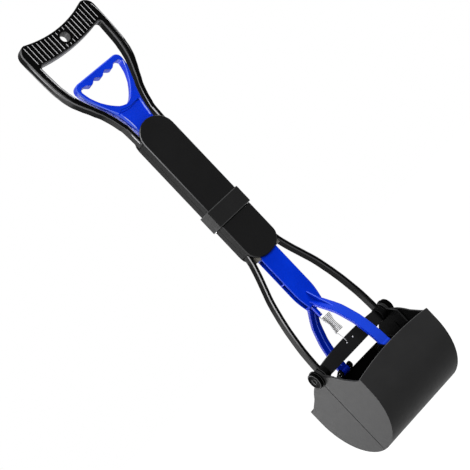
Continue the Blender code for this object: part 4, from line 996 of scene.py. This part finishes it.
# Dark edges along the seam where the plates of the jaws meet
PLATE_OUTER = 0.06425
EDGE_STAND = 0.00006
EDGE_DEEP = (0.0001, 0.00045)
EDGE_LEVELS = (0.004, 0.0985)
for side, place in ((-1, "front"), (1, "rear")):
    shape = bmesh.new()
    deep = [side * y for y in EDGE_DEEP]
    for x in (-PLATE_OUTER, PLATE_OUTER):
        add_block(shape, (x - EDGE_STAND, x + EDGE_STAND), deep, EDGE_LEVELS)
    finished(place + "_seam", shape, PAINTED_SHADE_AND_SEAM, place + "_jaw_body")

# Dark lip on the front jaw that covers the seam from within, painted shade that stands for the
# dark inside of the seam
PLATE_INNER = 0.06225
LIP_REACH = (PLATE_INNER - 0.0005, PLATE_INNER - 0.00005)
LIP_DEEP = (-0.0012, 0.0009)
LIP_LEVELS = (0.0040, 0.0940)
shape = bmesh.new()
for side in (-1, 1):
    add_block(shape, [side * x for x in LIP_REACH], LIP_DEEP, LIP_LEVELS)
finished("jaw_lip_shade", shape, PAINTED_SHADE_AND_SEAM, "front_jaw_body")

# Painted highlight as a light bead along the rim of the front jaw's wall
RIM_HALF = 0.0640
RIM_FRONT = -0.0656
RIM_LEVEL = 0.0827
RIM_ARCH = 0.005
RIM_RADIUS = 0.00042
RIM_STEPS = 24
rim_highlight = []
for step in range(RIM_STEPS + 1):
    x = RIM_HALF * (2 * step / RIM_STEPS - 1)
    rim_highlight.append((x, RIM_FRONT, RIM_LEVEL + RIM_ARCH * (1 - (x / RIM_HALF) ** 2)))
tubes("front_rim_highlight", [rim_highlight], RIM_RADIUS, FRONT_RIM_HIGHLIGHT, "front_jaw_body")

# Dark lip that closes the seam of the casing, painted shade that stands for the dark inside of the
# seam
SEAM = 0.308
SEAM_LIP_HALVES = (0.0238, 0.0098, 0.00006)
x, y, z = SEAM_LIP_HALVES
shape = bmesh.new()
add_block(shape, (-x, x), (-y, y), (SEAM - z, SEAM + z))
finished("seam_lip_shade", shape, PAINTED_SHADE_AND_SEAM, "handle_body")

# Tabs between the rod and the tops of the legs
TAB_REACH = (0.0145, 0.0193)
TAB_DEEP = (-0.0075, 0.0010)
TAB_LEVELS = (0.2507, 0.2585)
shape = bmesh.new()
for side in (-1, 1):
    add_block(shape, [side * x for x in TAB_REACH], TAB_DEEP, TAB_LEVELS)
finished("end_tabs", shape, TAB, "scoop_body")


def seen_by(tree, *rays):
    """One for rays of these kinds, and nothing for the others."""
    path = tree.nodes.new("ShaderNodeLightPath")
    seen = path.outputs[rays[0]]
    for ray in rays[1:]:
        seen = calc(tree, "MAXIMUM", seen, path.outputs[ray])
    return seen


# Floor well below the tool, which hangs: white to the camera and still shadowed
FLOOR_HEIGHT = -0.25
FLOOR_HALF = 8
FLOOR_TONE = 0.30
FLOOR_GLOW = 0.90
floor_mesh = bpy.data.meshes.new("floor")
floor_shape = bmesh.new()
bmesh.ops.create_grid(floor_shape, x_segments=1, y_segments=1, size=FLOOR_HALF)
floor_shape.to_mesh(floor_mesh)
floor_shape.free()
floor = bpy.data.objects.new("floor", floor_mesh)
floor.location = (0, 0, FLOOR_HEIGHT)
bpy.context.collection.objects.link(floor)
floor_look, floor_tree, floor_shader = new_material("floor_look")
floor_shader.inputs["Base Color"].default_value = (FLOOR_TONE, FLOOR_TONE, FLOOR_TONE, 1)
floor_shader.inputs["Roughness"].default_value = 0.9
floor_shader.inputs["Specular IOR Level"].default_value = 0.0
floor_shader.inputs["Emission Color"].default_value = (1, 1, 1, 1)
floor_seen = seen_by(floor_tree, "Is Camera Ray", "Is Glossy Ray")
glow = times(floor_tree, floor_seen, FLOOR_GLOW)
floor_tree.links.new(glow, floor_shader.inputs["Emission Strength"])
floor_mesh.materials.append(floor_look)

# World: a low even light, and white where a ray meets nothing else
AMBIENT = 0.35
WHITE = 1.0
world = bpy.data.worlds.new("studio")
bpy.context.scene.world = world
world.use_nodes = True
world_tree = world.node_tree
nodes, links = world_tree.nodes, world_tree.links
nodes.clear()
choose = nodes.new("ShaderNodeMixShader")
world_seen = seen_by(world_tree, "Is Camera Ray", "Is Glossy Ray", "Is Transmission Ray")
links.new(world_seen, choose.inputs["Fac"])
for index, strength in ((1, AMBIENT), (2, WHITE)):
    light = nodes.new("ShaderNodeBackground")
    light.inputs["Color"].default_value = (1, 1, 1, 1)
    light.inputs["Strength"].default_value = strength
    links.new(light.outputs[0], choose.inputs[index])
output = nodes.new("ShaderNodeOutputWorld")
links.new(choose.outputs[0], output.inputs["Surface"])


def lamp(name, place, target, size, power):
    data = bpy.data.lights.new(name, "AREA")
    data.shape = "RECTANGLE"
    data.size, data.size_y = size
    data.energy = power
    made = bpy.data.objects.new(name, data)
    made.location = place
    made.rotation_mode = "QUATERNION"
    made.rotation_quaternion = (Vector(target) - Vector(place)).to_track_quat("-Z", "Y")
    bpy.context.collection.objects.link(made)


lamp("front_softbox", (-1.1, -1.9, 1.1), target=(0, 0, 0.32), size=(1.1, 1.1), power=34)
lamp("side_softbox", (-1.6, 1.9, 0.05), target=(0, 0, 0.15), size=(1.3, 1.3), power=62)
lamp("top_softbox", (0.5, -0.3, 2.1), target=(0, 0, 0.4), size=(0.8, 0.8), power=12)
